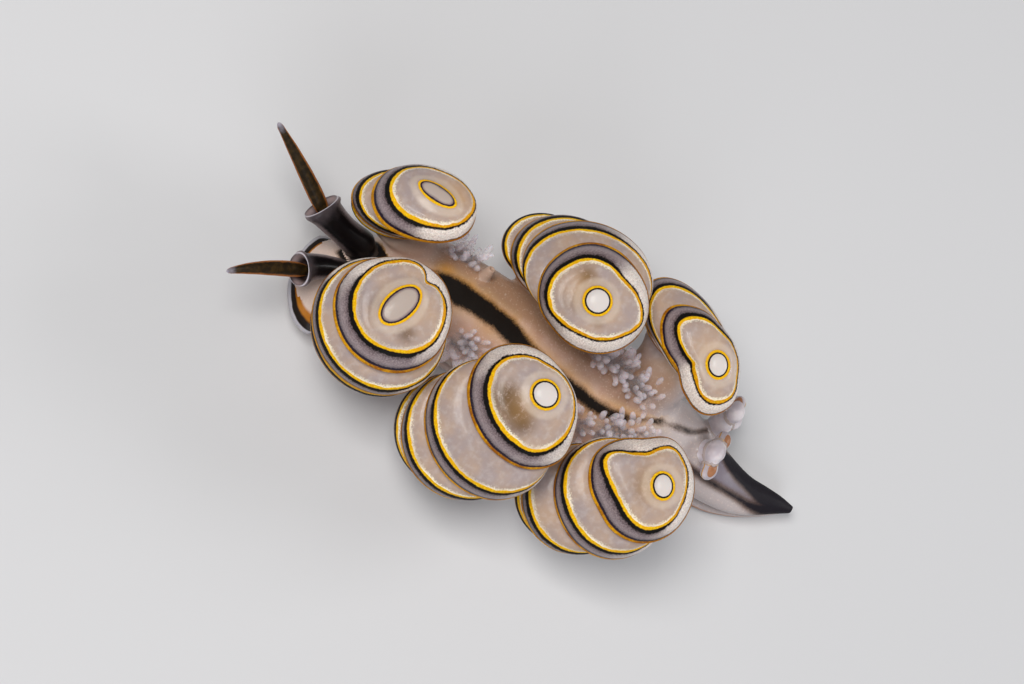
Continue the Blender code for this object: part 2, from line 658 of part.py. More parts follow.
def finish(obj, colour):
    """Scale to metres, shade smooth and give the solid its own material."""
    for v in obj.data.vertices:
        v.co *= MM
    obj.data.shade_smooth()
    mat = bpy.data.materials.new(obj.name)
    mat.use_nodes = True
    shader = mat.node_tree.nodes["Principled BSDF"]
    shader.inputs["Base Color"].default_value = COLOURS[colour]
    shader.inputs["Roughness"].default_value = SKIN_ROUGHNESS
    obj.data.materials.clear()
    obj.data.materials.append(mat)
    obj.data.name = obj.name
    print(obj.name, len(obj.data.polygons), "faces")


def main():
    """Build every solid of the slug."""
    for obj in list(bpy.data.objects):
        bpy.data.objects.remove(obj)
    finish(foot("foot"), "foot")
    finish(head("head"), "body")
    finish(trunk("body", HEAD_CUT + GAP / 2, TAIL_CUT - GAP / 2, 22), "body")
    finish(trunk("tail", TAIL_CUT + GAP / 2, TAIL_END, 10), "tail")
    for name in CERATA:
        finish(ceras(name), "ceras")
    for name in SMALL_CERATA:
        finish(small_ceras(name), "ceras")
    for side in HORNS:
        finish(sheath(side), "sheath")
        finish(club(side), "rhinophore")
    for seed, name in enumerate(GILLS):
        finish(gill(name, seed), "gill")
    finish(papilla("anal_papilla"), "papilla")


main()
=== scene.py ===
# %% [markdown]
# A ringed sea slug, from its solids to its living skin.
# The packed model gives plain solids in metres, already in place. This lesson lays one
# continuous skin over them, paints it with shader nodes, adds the fine gills and the
# two rhinophores, and lights it as on a museum table.

# %% Load the fixed frame
from functools import cached_property
from types import SimpleNamespace

import bpy
import bmesh
import numpy as np
from mathutils import Matrix, Vector


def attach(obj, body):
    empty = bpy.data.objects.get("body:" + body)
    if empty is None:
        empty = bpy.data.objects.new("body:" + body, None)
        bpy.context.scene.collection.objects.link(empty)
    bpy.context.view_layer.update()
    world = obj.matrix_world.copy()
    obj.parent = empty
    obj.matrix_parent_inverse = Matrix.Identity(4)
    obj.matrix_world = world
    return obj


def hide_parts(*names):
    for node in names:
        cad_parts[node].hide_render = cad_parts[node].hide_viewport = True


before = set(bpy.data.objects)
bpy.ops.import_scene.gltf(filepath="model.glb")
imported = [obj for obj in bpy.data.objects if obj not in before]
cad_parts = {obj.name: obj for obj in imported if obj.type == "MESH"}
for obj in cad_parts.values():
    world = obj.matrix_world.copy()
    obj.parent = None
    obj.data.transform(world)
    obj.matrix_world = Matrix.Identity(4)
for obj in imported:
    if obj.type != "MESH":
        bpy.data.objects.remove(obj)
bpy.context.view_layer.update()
MM = 0.001
print("nodes in the frame:", len(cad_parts))

# %% [markdown]
# Two small curve tools come first. The slug's outlines are given by a few named stations,
# and everything finer is read from smooth curves through them, as a sculptor reads a
# section between two templates.

# %% Curve helpers
def unit(v):
    """v divided by its length."""
    v = np.asarray(v, float)
    return v / np.linalg.norm(v, axis=-1, keepdims=True)


def through(t, knots, values):
    """Cubic curve through (knot, value), with the slope of the neighbours' chord at a knot."""
    t, knots, values = np.atleast_1d(t), np.asarray(knots, float), np.asarray(values, float)
    slope = np.gradient(values, knots, axis=0)
    t = np.clip(t, knots[0], knots[-1])
    i = np.clip(np.searchsorted(knots, t, side="right") - 1, 0, len(knots) - 2)
    shape = (-1,) + (1,) * (values.ndim - 1)
    h = (knots[i + 1] - knots[i]).reshape(shape)
    f = (t - knots[i]).reshape(shape) / h
    return ((2 * f**3 - 3 * f**2 + 1) * values[i] + (f**3 - 2 * f**2 + f) * h * slope[i]
            + (3 * f**2 - 2 * f**3) * values[i + 1] + (f**3 - f**2) * h * slope[i + 1])


def around(angles, values):
    """Closed Catmull-Rom curve through values spaced evenly round a turn."""
    values = np.asarray(values, float)
    n = len(values)
    x = (angles / (2 * np.pi) * n) % n
    i = np.floor(x).astype(int) % n
    f = x - np.floor(x)
    a, b, c, d = values[(i - 1) % n], values[i], values[(i + 1) % n], values[(i + 2) % n]
    return 0.5 * (2 * b + (c - a) * f + (2 * a - 5 * b + 4 * c - d) * f**2
                  + (3 * b - a - 3 * c + d) * f**3)


def circle(segments):
    """Evenly spaced angles round one turn."""
    return np.linspace(0, 2 * np.pi, segments, endpoint=False)


def ring(centre, normal, outward, reach, breadth, angles):
    """centre + reach cos(a) along + breadth sin(a) across, in the plane square to normal."""
    n = unit(normal)
    s = np.array([outward[0], outward[1], 0.0])
    along = unit(s - n * np.dot(s, n))
    across = np.cross(n, along)
    return (np.asarray(centre, float) + np.outer(reach * np.cos(angles), along)
            + np.outer(breadth * np.sin(angles), across))


print("a quarter turn reads", round(float(around(np.pi / 2, [1, 2, 3, 4])), 3))

# %% [markdown]
# A form here is a stack of rings. Between the rings that shape it, finer rings are read
# from the same smooth curve, so a lip stays round at any zoom. The mesh is filled in one
# go from arrays, and each point also carries plain numbers, such as how far it lies from
# a lip, which the paint reads later.

# %% Mesh helpers
PAINT = ("tier", "band", "field", "spot", "outward", "ceras", "plain_spot", "lines", "tail",
         "collar", "collar_side", "veil", "part")
FAR = 9.0           # "nowhere near", in mm, for a paint number that doesn't apply


def refine(rings, spacing):
    """Rings read from a cubic curve through the given ones, and the row of each given ring."""
    rings = np.array(rings)
    step = np.linalg.norm(np.diff(rings, axis=0), axis=2).mean(axis=1)
    knots = np.concatenate([[0.0], np.cumsum(step)])
    counts = np.maximum(2, np.round(step / spacing)).astype(int)
    at = [np.linspace(a, b, n, endpoint=False) for a, b, n in zip(knots[:-1], knots[1:], counts)]
    rows = through(np.concatenate([*at, knots[-1:]]), knots, rings)
    return rows, np.concatenate([[0], np.cumsum(counts)])


def add_object(name, data):
    """A new object in the scene, at the origin."""
    obj = bpy.data.objects.new(name, data)
    bpy.context.scene.collection.objects.link(obj)
    return obj


def closed_mesh(name, stacks, paint, keys):
    """Quads between the rows of each stack, and a fan to each end row from a pole.

    A pole that isn't given lies in the middle of its row."""
    points, faces, start = [], [], 0
    for rows, *ends in stacks:
        m, n = rows.shape[:2]
        grid = start + np.arange(m * n).reshape(m, n)
        beside = np.roll(grid, -1, axis=1)
        poles = start + m * n + np.array([[0], [1]]) * np.ones(n, int)
        quads = np.stack([grid[:-1], beside[:-1], beside[1:], grid[1:]], axis=-1)
        faces += quads.reshape(-1, 4).tolist()
        faces += np.stack([poles[0], beside[0], grid[0]], axis=-1).tolist()
        faces += np.stack([poles[1], grid[-1], beside[-1]], axis=-1).tolist()
        first, last = ends or (rows[0].mean(axis=0), rows[-1].mean(axis=0))
        points += [rows.reshape(-1, 3), [first], [last]]
        start += m * n + 2
    points = np.concatenate(points) * MM
    mesh = bpy.data.meshes.new(name)
    mesh.from_pydata(points.tolist(), [], faces)
    for key in keys:
        numbers = np.full(len(points), paint.get(key, 0.0), float)
        mesh.attributes.new(key, "FLOAT", "POINT").data.foreach_set("value", numbers)
    obj = add_object(name, mesh)
    face_out(obj)
    return obj


def skin_mesh(name, rows, *ends, **paint):
    """One closed stack of rows, with paint numbers, as a part of the skin carries them."""
    return closed_mesh(name, [(rows, *ends)], paint, PAINT)


def face_out(obj):
    """Turn all faces of a closed mesh outwards."""
    bm = bmesh.new()
    bm.from_mesh(obj.data)
    bmesh.ops.recalc_face_normals(bm, faces=bm.faces)
    if bm.calc_volume(signed=True) < 0:
        bmesh.ops.reverse_faces(bm, faces=bm.faces)
    bm.to_mesh(obj.data)
    bm.free()


def with_poles(values, first=0.0, last=0.0):
    """Numbers of the rows, in one line, with those of the two poles after them."""
    return np.concatenate([np.ravel(values), [first, last]]).astype(float)


def by_row(values, angles, first=0.0, last=0.0):
    """One number for each whole row."""
    return with_poles(np.repeat(values, len(angles)), first, last)


def by_turn(rows, angles):
    """The cosine of the angle round the form: 1 on one side of it and -1 on the other."""
    return with_poles(np.broadcast_to(np.cos(angles), np.shape(rows)[:2]))


print("paint numbers on the skin:", ", ".join(PAINT))

# %% [markdown]
# The trunk is a long loaf: narrow at the face, widest under the second pair of cerata and
# drawn out to a flat tail. Its stations match the solids, but here head, body and tail are
# one length with no cuts, and the belly runs down into the foot.

# %% Trunk
TRUNK = np.array([      # y, centre x, half width, height of the back, in mm
    (-8.20, 1.28, 0.55, 1.45),
    (-7.95, 1.16, 0.95, 1.72),
    (-7.50, 0.95, 1.22, 2.10),
    (-7.00, 0.70, 1.32, 2.52),
    (-6.40, 0.40, 1.38, 2.92),
    (-5.60, 0.05, 1.55, 3.30),
    (-4.60, -0.22, 1.64, 3.62),
    (-3.20, -0.25, 1.66, 3.80),
    (-1.00, -0.15, 1.78, 3.86),
    (1.40, 0.10, 1.76, 3.72),
    (2.80, -0.16, 2.00, 3.56),
    (4.20, -0.22, 1.84, 3.30),
    (5.40, -0.29, 1.60, 3.05),
    (6.60, -0.42, 1.32, 2.72),
    (7.60, -0.40, 1.12, 2.25),
    (8.60, -0.32, 0.94, 1.78),
    (9.60, -0.34, 0.74, 1.52),
    (10.40, -0.55, 0.56, 1.36),
    (11.10, -0.78, 0.33, 1.22),
    (11.62, -0.92, 0.14, 1.06),
])
BELLY = 0.85            # underside of the solid trunk, from which its sections are drawn
SUNK = 0.30             # how far the skin's trunk goes on down into the foot
FLANK_LEVEL = 0.42      # share of the height at which the trunk is widest
TRUNK_ROWS = ((-8.20, -7.2, 16), (-7.2, 10.6, 150), (10.6, 11.62, 13))  # from, to, rows
# The dark lines of the back, as they show between the cerata: y, x and half width.
# Where a half width is negative there is no line.
STRIPE = np.array([
    (-8.20, 0.60, -0.60), (-5.20, -0.40, -0.30), (-4.75, -0.34, -0.04), (-4.40, -0.24, 0.18),
    (-3.70, -0.14, 0.37), (-2.90, -0.13, 0.33), (-2.00, -0.03, 0.31), (-1.60, 0.04, 0.31),
    (-0.70, 0.27, 0.24), (1.08, 0.52, 0.20), (1.85, 0.56, 0.18), (2.40, 0.59, 0.17),
    (3.00, 0.50, 0.15), (3.50, 0.37, 0.12), (4.00, 0.15, 0.04), (4.40, -0.10, 0.00),
    (4.80, -0.33, 0.12), (5.12, -0.40, 0.02), (5.60, -0.46, -0.20), (11.62, -0.92, -0.60),
])
TAIL_LEFT = np.array([
    (5.90, 0.25, -0.20), (6.70, 0.28, 0.05), (7.50, 0.22, 0.07), (8.60, 0.06, 0.07),
    (9.40, -0.03, 0.09), (9.90, -0.08, 0.12), (10.50, -0.25, 0.20), (11.10, -0.62, 0.28),
    (11.62, -0.92, 0.30),
])
TAIL_RIGHT = np.array([
    (7.30, -0.98, -0.10), (8.00, -0.95, 0.16), (8.45, -0.94, 0.30), (9.50, -0.86, 0.42),
    (10.25, -0.80, 0.48), (10.80, -0.85, 0.45), (11.30, -0.90, 0.35), (11.62, -0.92, 0.30),
])
HEAD_STREAK = np.array([
    (-7.60, 0.40, -0.10), (-7.25, 0.26, 0.34), (-6.90, 0.08, 0.42), (-6.50, -0.02, 0.36),
    (-6.25, -0.06, 0.20), (-6.05, -0.05, -0.10),
])
HUMP_LINE = np.array([
    (5.10, -0.42, -0.10), (5.50, -0.53, 0.035), (6.35, -0.81, 0.04), (6.91, -1.25, 0.03),
    (7.30, -1.45, -0.10),
])
TAIL_FROM, TAIL_OPENS = 7.0, 0.4     # y at which the field between them starts, and its slope
DARK_LINES = (STRIPE, HEAD_STREAK, TAIL_LEFT, TAIL_RIGHT, HUMP_LINE)


def stations(stretches):
    """Values of y, evenly spaced within each stretch, and the end of the last."""
    steps = [np.linspace(start, stop, count, endpoint=False) for start, stop, count in stretches]
    return np.concatenate([*steps, [stretches[-1][1]]])


def trunk_points(y, angles):
    """Loaf section: x = centre + half |cos|^0.86, z = middle + (top or bottom) |sin|^p."""
    x, half, back = through(y, TRUNK[:, 0], TRUNK[:, 1:]).T[:, :, None]
    c, s = np.cos(angles)[None], np.sin(angles)[None]
    middle = BELLY + (back - BELLY) * FLANK_LEVEL
    up = (back - middle) * np.clip(s, 0, None)**0.92
    down = (middle - BELLY + SUNK) * np.clip(-s, 0, None)**0.62
    wide = half * np.sign(c) * np.abs(c)**0.86
    return np.stack([x + wide, np.broadcast_to(np.reshape(y, (-1, 1)), wide.shape),
                     middle + up - down], axis=-1)


print("trunk stations:", len(TRUNK))

# %% [markdown]
# The dark lines are painted by distance, because a distance gives a clean edge at any zoom.
# So each point of the trunk stores how near it lies to the edge of the nearest line.

# %% Distances from the dark lines
def off_line(points, line):
    """Level distance in mm from the edge of a dark line, minus inside it."""
    x, half = through(points[..., 1].ravel(), line[:, 0], line[:, 1:]).T
    shape = points.shape[:-1]
    beyond = np.maximum(line[0, 0] - points[..., 1], points[..., 1] - line[-1, 0])
    aside = np.abs(points[..., 0] - x.reshape(shape)) - half.reshape(shape)
    return aside + np.maximum(beyond, 0.0)


def dark_lines(points):
    """1 on the edge of the nearest dark line, more inside it and less outside, 0 from 1 mm off."""
    edge = np.minimum.reduce([off_line(points, line) for line in DARK_LINES])
    return np.maximum(0.0, 1.0 - edge)


def tail_field(points):
    """Depth in mm inside the field between the two lines of the tail, 0 outside it."""
    y = points[..., 1]
    left, right = (through(y.ravel(), line[:, 0], line[:, 1]).reshape(y.shape)
                   for line in (TAIL_LEFT, TAIL_RIGHT))
    inside = np.minimum(left - points[..., 0], points[..., 0] - right)
    return np.clip(np.minimum(inside, (y - TAIL_FROM) * TAIL_OPENS), 0.0, 1.0)


def make_trunk():
    """Rows of the loaf section from face to tail tip."""
    rows = trunk_points(stations(TRUNK_ROWS), circle(76))
    first, last = rows[0].mean(axis=0), rows[-1].mean(axis=0)
    poles = np.array([first, last])
    lines, field = (with_poles(rule(rows), *rule(poles)) for rule in (dark_lines, tail_field))
    return skin_mesh("trunk", rows, first, last, lines=lines, tail=field, part=1.0)


trunk = make_trunk()
print("trunk faces:", len(trunk.data.polygons))

# %% [markdown]
# The foot is a thin slab with a soft rounded margin. A live foot is never quite straight
# along its edge, so the margin ripples a little between the stations.

# %% Foot
FOOT = np.array([       # y, centre x, half width of the sole, in mm
    (-7.60, 1.02, 0.42),
    (-7.30, 0.88, 0.86),
    (-6.60, 0.52, 1.16),
    (-5.00, -0.12, 1.36),
    (-2.00, -0.20, 1.46),
    (1.00, 0.08, 1.46),
    (4.00, 0.04, 1.34),
    (6.50, -0.26, 1.14),
    (8.50, -0.26, 0.94),
    (10.00, -0.40, 0.66),
    (11.00, -0.73, 0.36),
    (11.60, -0.92, 0.12),
])
FOOT_ROWS = ((-7.60, -7.2, 10), (-7.2, 11.2, 130), (11.2, 11.60, 9))
SOLE_TOP = 0.55
RIPPLE, RIPPLE_PACE, RIPPLE_SHIFT = 0.035, 2.9, 1.1     # share of the width, radians a mm, radians


def make_foot():
    """Slab: half width x |cos|^0.42 across, half height x |sin|^0.5 up, rippling along y."""
    y = stations(FOOT_ROWS)
    x, half = through(y, FOOT[:, 0], FOOT[:, 1:]).T[:, :, None]
    angles = circle(40)[None]
    c, s = np.cos(angles), np.sin(angles)
    turn = RIPPLE_PACE * y[:, None] + RIPPLE_SHIFT * np.sign(c)
    ripple = 1 + RIPPLE * np.sin(turn) * np.abs(c)
    across = half * ripple * np.sign(c) * np.abs(c)**0.42
    up = 0.5 * SOLE_TOP * (1 + np.sign(s) * np.abs(s)**0.5)
    rows = np.stack([x + across, np.broadcast_to(y[:, None], across.shape),
                     np.broadcast_to(up, across.shape)], axis=-1)
    return skin_mesh("foot_skin", rows, part=2.0)


foot = make_foot()
print("foot faces:", len(foot.data.polygons))

# %% [markdown]
# The head is small and low. In front it spreads into a thin oral veil, a flap that feels
# the way, and under the veil two lips close on the mouth. The veil's paint follows how far
# out on the flap a point lies, so that number goes with it.

# %% Oral veil, lips and mouth
VEIL = dict(centre=(1.42, -7.36, 0.0), face=(0.28, -0.96), half=1.68, depth=1.02, back=0.55,
            level=1.30)
VEIL_LOOPS = np.array([     # how far out, drop and thickness
    (0.10, 0.00, 0.64), (0.30, 0.00, 0.62), (0.55, 0.05, 0.60), (0.78, 0.13, 0.52),
    (0.92, 0.22, 0.40), (0.985, 0.26, 0.22), (1.00, 0.27, 0.06)])
MOUTH = np.array([1.20, -7.85, 1.02])
LIP_AHEAD, LIP_APART, LIP_SIZE = 0.30, 0.17, (0.26, 0.42, 0.30)
SLIT_AHEAD, SLIT_SIZE = 0.62, (0.06, 0.24, 0.30)
ahead = unit((*VEIL["face"], 0.0))
beside = np.array([-ahead[1], ahead[0], 0.0])


def make_veil():
    """Flap: loops of a half ellipse ahead and a flatter one behind, above then below its edge."""
    angles = circle(96)
    frill = 1 + 0.012 * np.sin(9 * angles) + 0.010 * np.sin(5 * angles + 1.0)
    reach = np.where(np.cos(angles) > 0, VEIL["depth"], VEIL["back"]) * np.cos(angles)
    loops, out = [], []
    for sign, order in ((0.5, VEIL_LOOPS), (-0.5, VEIL_LOOPS[::-1])):
        for far, drop, thick in order:
            level = VEIL["level"] - drop * (0.6 + 0.4 * np.cos(angles)) + sign * thick
            spread = far * (1 + (frill - 1) * far**4)
            loops.append(VEIL["centre"] + np.outer(reach * spread, ahead)
                         + np.outer(level, (0, 0, 1))
                         + np.outer(VEIL["half"] * np.sin(angles) * spread, beside))
            out.append(far)
    rows, marks = refine(loops, 0.09)
    far = np.interp(np.arange(len(rows)), marks, out)
    return skin_mesh("veil", rows, veil=by_row(far, angles), part=3.0)


def make_ball(name, at, size):
    """Ellipsoid: at + size (sin v cos u, sin v sin u, cos v)."""
    v, u = np.linspace(0, np.pi, 15)[1:-1, None], circle(28)[None]
    up = np.broadcast_to(np.cos(v), (len(v), u.size))
    rows = np.stack([np.sin(v) * np.cos(u), np.sin(v) * np.sin(u), up], axis=-1) * size + at
    pole = np.array([0, 0, size[2]])
    return skin_mesh(name, rows, at + pole, at - pole, part=4.0)


veil = make_veil()
lips = [make_ball("lip", MOUTH + beside * side * LIP_APART + ahead * LIP_AHEAD, LIP_SIZE)
        for side in (-1, 1)]
print("veil faces:", len(veil.data.polygons))

# %% [markdown]
# The cerata are the slug's pride: six tall stacks of flaring tiers, each tier a smooth
# field, a golden shoulder, a sloping band and an orange lip. One function makes them all.
# Every point stores its place in the stack and the real width of its band and field, so
# the painted lines keep their true width where the band narrows.

# %% Measures of the six large cerata
CERATA = {      # gold and lip radii are read every 30 degrees from the outward bearing
    "ceras_left_1": dict(
        outward=(0.92, -0.39), tilt=(0.10, -0.20),
        gold_at=(2.33, -5.98, 6.72), lip_at=(2.42, -5.91, 6.12),
        gold=(1.42, 1.38, 1.44, 1.50, 1.46, 1.44, 1.34, 1.50, 1.46, 1.46, 1.44, 1.42),
        lip=(1.87, 1.88, 1.94, 1.93, 1.88, 1.92, 1.94, 1.84, 1.83, 1.94, 1.98, 1.90),
        notch=(184.0, 9.0, 0.13),
        spot_at=(2.37, -6.08, 7.12), spot=(0.70, 0.41, 3.0), plain_spot=0.75,
        tiers=(
            ((2.68, -5.86, 5.47), (0.10, -0.15), 1.98, 2.15),
            ((2.66, -5.80, 4.85), (0.12, -0.15), 2.09, 2.30),
            ((2.68, -5.70, 4.35), (0.16, -0.15), 1.92, 2.18),
            ((2.64, -5.66, 3.85), (0.18, -0.15), 1.92, 2.16),
        ),
        neck=((1.75, -5.50, 2.80), 0.95), root=((0.70, -5.30, 2.40), 0.90)),
    "ceras_left_2": dict(
        outward=(0.89, -0.44), tilt=(0.10, -0.17),
        gold_at=(2.79, -0.77, 7.14), lip_at=(2.86, -0.76, 6.51),
        gold=(1.25, 1.35, 1.55, 1.53, 1.45, 1.39, 1.35, 1.32, 1.48, 1.60, 1.48, 1.32),
        lip=(1.70, 1.80, 2.03, 2.12, 1.88, 1.77, 1.70, 1.88, 2.05, 2.12, 1.96, 1.76),
        spot_at=(2.43, -0.60, 7.56), spot=(0.34, 0.36, 0.0), plain_spot=0.0,
        tiers=(
            ((3.66, -1.04, 5.75), (0.12, -0.15), 1.95, 2.15),
            ((3.72, -0.96, 5.00), (0.15, -0.12), 2.08, 2.28),
            ((4.00, -1.33, 4.50), (0.20, -0.12), 2.00, 2.10),
            ((4.02, -1.30, 3.90), (0.22, -0.12), 2.05, 2.12),
            ((3.94, -1.56, 3.50), (0.25, -0.12), 1.85, 1.90),
            ((3.83, -1.60, 3.02), (0.30, -0.15), 1.80, 1.82),
        ),
        neck=((2.05, -0.95, 2.45), 0.92), root=((0.85, -0.55, 2.40), 0.90)),
    "ceras_left_3": dict(
        outward=(0.82, -0.565), tilt=(0.10, -0.20),
        gold_at=(2.86, 4.20, 6.69), lip_at=(2.86, 4.27, 6.09),
        gold=(1.09, 1.24, 1.45, 1.39, 1.26, 1.25, 1.36, 1.40, 1.00, 1.10, 1.62, 1.25),
        lip=(1.67, 1.79, 1.87, 1.83, 1.76, 1.77, 1.81, 1.88, 1.60, 1.74, 1.90, 1.80),
        spot_at=(2.76, 4.54, 7.08), spot=(0.33, 0.27, 64.0), plain_spot=0.1,
        tiers=(
            ((3.32, 3.86, 5.45), (0.12, -0.15), 1.75, 1.90),
            ((3.35, 3.96, 4.72), (0.15, -0.12), 1.92, 2.05),
            ((3.66, 3.33, 4.08), (0.20, -0.15), 1.80, 1.80),
            ((3.70, 3.28, 3.52), (0.20, -0.15), 1.82, 1.85),
            ((3.66, 3.10, 3.12), (0.25, -0.15), 1.62, 1.62),
            ((3.60, 3.04, 2.70), (0.30, -0.15), 1.56, 1.56),
        ),
        neck=((2.05, 3.60, 2.30), 0.85), root=((0.95, 3.95, 2.20), 0.82)),
    "ceras_right_1": dict(
        outward=(0.30, -0.95), tilt=(-0.15, -0.30),
        gold_at=(-1.46, -6.67, 6.50), lip_at=(-1.33, -6.65, 5.92),
        gold=(1.35, 1.18, 1.01, 0.98, 1.09, 1.27, 1.36, 1.16, 0.99, 0.98, 1.11, 1.31),
        lip=(1.75, 1.64, 1.43, 1.35, 1.47, 1.68, 1.70, 1.56, 1.42, 1.36, 1.46, 1.67),
        spot_at=(-1.52, -6.67, 6.88), spot=(0.60, 0.27, -27.0), plain_spot=0.75,
        tiers=(
            ((-1.36, -6.76, 5.30), (-0.10, -0.30), 1.72, 1.18),
            ((-1.37, -6.88, 4.70), (-0.10, -0.25), 1.76, 1.20),
            ((-1.26, -7.00, 4.25), (-0.05, -0.20), 1.45, 1.05),
            ((-1.29, -6.98, 3.84), (-0.05, -0.20), 1.36, 0.93),
        ),
        neck=((-1.12, -5.76, 3.05), 0.84), root=((-0.60, -5.40, 2.30), 0.84)),
    "ceras_right_2": dict(
        outward=(-0.39, -0.92), tilt=(0.20, -0.20),
        gold_at=(-1.20, -0.47, 7.31), lip_at=(-1.49, -0.36, 6.72),
        gold=(1.43, 1.53, 1.46, 1.22, 1.13, 1.22, 1.38, 1.62, 1.38, 1.16, 1.24, 1.37),
        lip=(1.85, 1.88, 1.84, 1.70, 1.74, 1.84, 1.90, 1.89, 1.80, 1.71, 1.77, 1.83),
        spot_at=(-1.12, -0.52, 7.72), spot=(0.34, 0.34, 0.0), plain_spot=0.0,
        tiers=(
            ((-2.14, -0.64, 6.15), (0.15, -0.20), 2.10, 1.60, 43.0),
            ((-2.54, -0.62, 5.60), (0.10, -0.20), 2.18, 1.70, 43.0),
            ((-2.67, -1.12, 5.10), (0.00, -0.20), 1.78, 1.50, 43.0),
            ((-2.82, -1.19, 4.60), (0.00, -0.25), 1.85, 1.56, 43.0),
            ((-2.93, -1.80, 4.20), (-0.05, -0.25), 1.40, 1.20, 43.0),
            ((-3.04, -1.80, 3.80), (-0.05, -0.30), 1.42, 1.22, 43.0),
        ),
        neck=((-1.95, -0.85, 2.85), 0.92), root=((-0.85, -0.45, 2.45), 0.90)),
    "ceras_right_3": dict(
        outward=(-0.44, -0.89), tilt=(0.15, -0.20),
        gold_at=(-1.64, 3.92, 7.08), lip_at=(-1.80, 3.96, 6.54),
        gold=(1.47, 0.75, 0.42, 0.46, 0.70, 1.30, 1.45, 1.18, 1.07, 1.05, 1.11, 1.39),
        lip=(2.00, 1.50, 1.01, 0.92, 1.30, 1.86, 1.84, 1.44, 1.27, 1.24, 1.37, 1.73),
        spot_at=(-1.66, 4.28, 7.40), spot=(0.33, 0.27, -32.0), plain_spot=0.0,
        tiers=(
            ((-2.44, 3.56, 5.95), (0.10, -0.20), 1.72, 1.16),
            ((-2.80, 3.46, 5.35), (0.05, -0.20), 1.84, 1.24),
            ((-3.00, 3.50, 4.85), (0.00, -0.20), 1.50, 1.08),
            ((-3.10, 3.54, 4.35), (0.00, -0.20), 1.44, 1.06),
        ),
        neck=((-1.74, 4.22, 2.90), 1.12), root=((-0.85, 4.40, 2.30), 0.85)),
}
print("large cerata:", len(CERATA))

# %% [markdown]
# A ceras is built from the top down. The knob in the middle of the cap carries the pale
# spot. Round it the cap rises in a low cone and runs out to the shoulder. Below each
# lip the skin tucks in sharply before the next tier swells out.

# %% Form of a ceras
CERAS_SEGMENTS, CERAS_SPACING = 104, 0.095
KNOB = ((0.42, 0.035), (0.85, 0.005), (1.12, -0.045), (1.30, -0.075))   # share of its oval, height
SPOT_ROW = 2            # the ring of the knob at which the painted spot ends
CONE_FOOT, CONE = 1.25, (0.40, 0.78)    # share of the knob's oval, shares of the way out
CONE_DROP, CONE_LIFT = 0.14, 0.10
TUCK_IN = (0.10, 0.25, 0.32)    # under a lip: least, share of the room below it, most
TUCK_UP = (0.30, 0.16)          # share of that room, most


def tiers(spec, angles):
    """Shoulder ring, lip ring and upward axis of each tier, from the top down."""
    up = unit((*spec["tilt"], 1.0))
    gold, lip = around(angles, spec["gold"]), around(angles, spec["lip"])
    if "notch" in spec:
        at, width, depth = spec["notch"]
        off = (np.degrees(angles) - at + 180.0) % 360.0 - 180.0
        gold = gold * (1.0 - depth * np.exp(-(off / width)**2))
    stack = [(ring(spec["gold_at"], up, spec["outward"], gold, gold, angles),
              ring(spec["lip_at"], up, spec["outward"], lip, lip, angles), up)]
    shape = lip / lip.mean()
    ovals = []
    for i, (centre, tilt, *size) in enumerate(spec["tiers"]):
        radius = oval(angles, *size) * (1.0 + (shape - 1.0) * max(0.0, 0.35 - 0.1 * i))
        ovals.append(ring(centre, (*tilt, 1.0), spec["outward"], radius, radius, angles))
    for i in range(0, len(ovals), 2):
        stack.append((ovals[i], ovals[i + 1], unit((*spec["tiers"][i + 1][1], 1.0))))
    return stack


def oval(angles, reach, breadth, turn=0.0):
    """Ellipse's radius: 1 / root of (cos / reach)^2 + (sin / breadth)^2, turned in degrees."""
    off = angles - np.radians(turn)
    return 1.0 / np.sqrt((np.cos(off) / reach)**2 + (np.sin(off) / breadth)**2)


def cap_rings(spec, shoulder, up, angles):
    """Knob, groove and cone of the cap, given as offsets from the knob's oval."""
    at = np.array(spec["spot_at"])
    radius = oval(angles, *spec["spot"])
    knob = ring(at, up, spec["outward"], radius, radius, angles) - at
    rings = [at + share * knob + height * up for share, height in KNOB]
    middle = shoulder.mean(axis=0)
    for f in CONE:
        flat = (at + CONE_FOOT * knob) * (1 - f) + shoulder * f
        height = np.dot(flat - middle, up)[:, None]
        rings.append(flat + up * (CONE_DROP * (1 - f) + CONE_LIFT - height))
    return rings


def ceras_rows(spec, angles):
    """Fine rows of one ceras, with the rows of the spot's edge, shoulders and lips."""
    stack = tiers(spec, angles)
    rings = cap_rings(spec, stack[0][0], stack[0][2], angles)
    shoulders, lips = [], []
    for i, (shoulder, rim, up) in enumerate(stack):
        out = unit(rim - rim.mean(axis=0))
        shoulders.append(len(rings))
        rings += [shoulder, 0.50 * rim + 0.50 * shoulder + 0.05 * out + 0.03 * up,
                  rim + 0.10 * (shoulder - rim)]
        lips.append(len(rings))
        rings += [rim - 0.03 * up, rim - 0.11 * up - 0.05 * out]
        if i + 1 < len(stack):
            below = stack[i + 1][0]
            room = np.linalg.norm(below - rim, axis=1)[:, None]
            least, share, most = TUCK_IN
            tuck = (rim - out * np.minimum(least + share * room, most)
                    - up * np.minimum(TUCK_UP[0] * room, TUCK_UP[1]))
            rings += [tuck - 0.02 * up, 0.55 * tuck + 0.45 * below + 0.10 * room * up]
    rim, up = stack[-1][1:]
    last, reach = np.array(spec["tiers"][-1][0]), spec["tiers"][-1][2]
    (neck, neck_radius), (root, root_radius) = spec["neck"], spec["root"]
    away = unit(last - np.array(root))
    middle = 0.62 * last + 0.38 * np.array(neck) - 0.25 * up
    rings.append(rim + 0.16 * (last - rim) - 0.22 * up)
    rings += [ring(at, normal, spec["outward"], *size, angles) for at, normal, *size in (
        (middle, up + 0.6 * away, 0.62 * reach, 0.66 * reach),
        (neck, away + 0.35 * up, neck_radius, neck_radius),
        (root, away, root_radius, root_radius))]
    rows, marks = refine(rings, CERAS_SPACING)
    return rows, marks[SPOT_ROW], marks[shoulders], marks[lips]


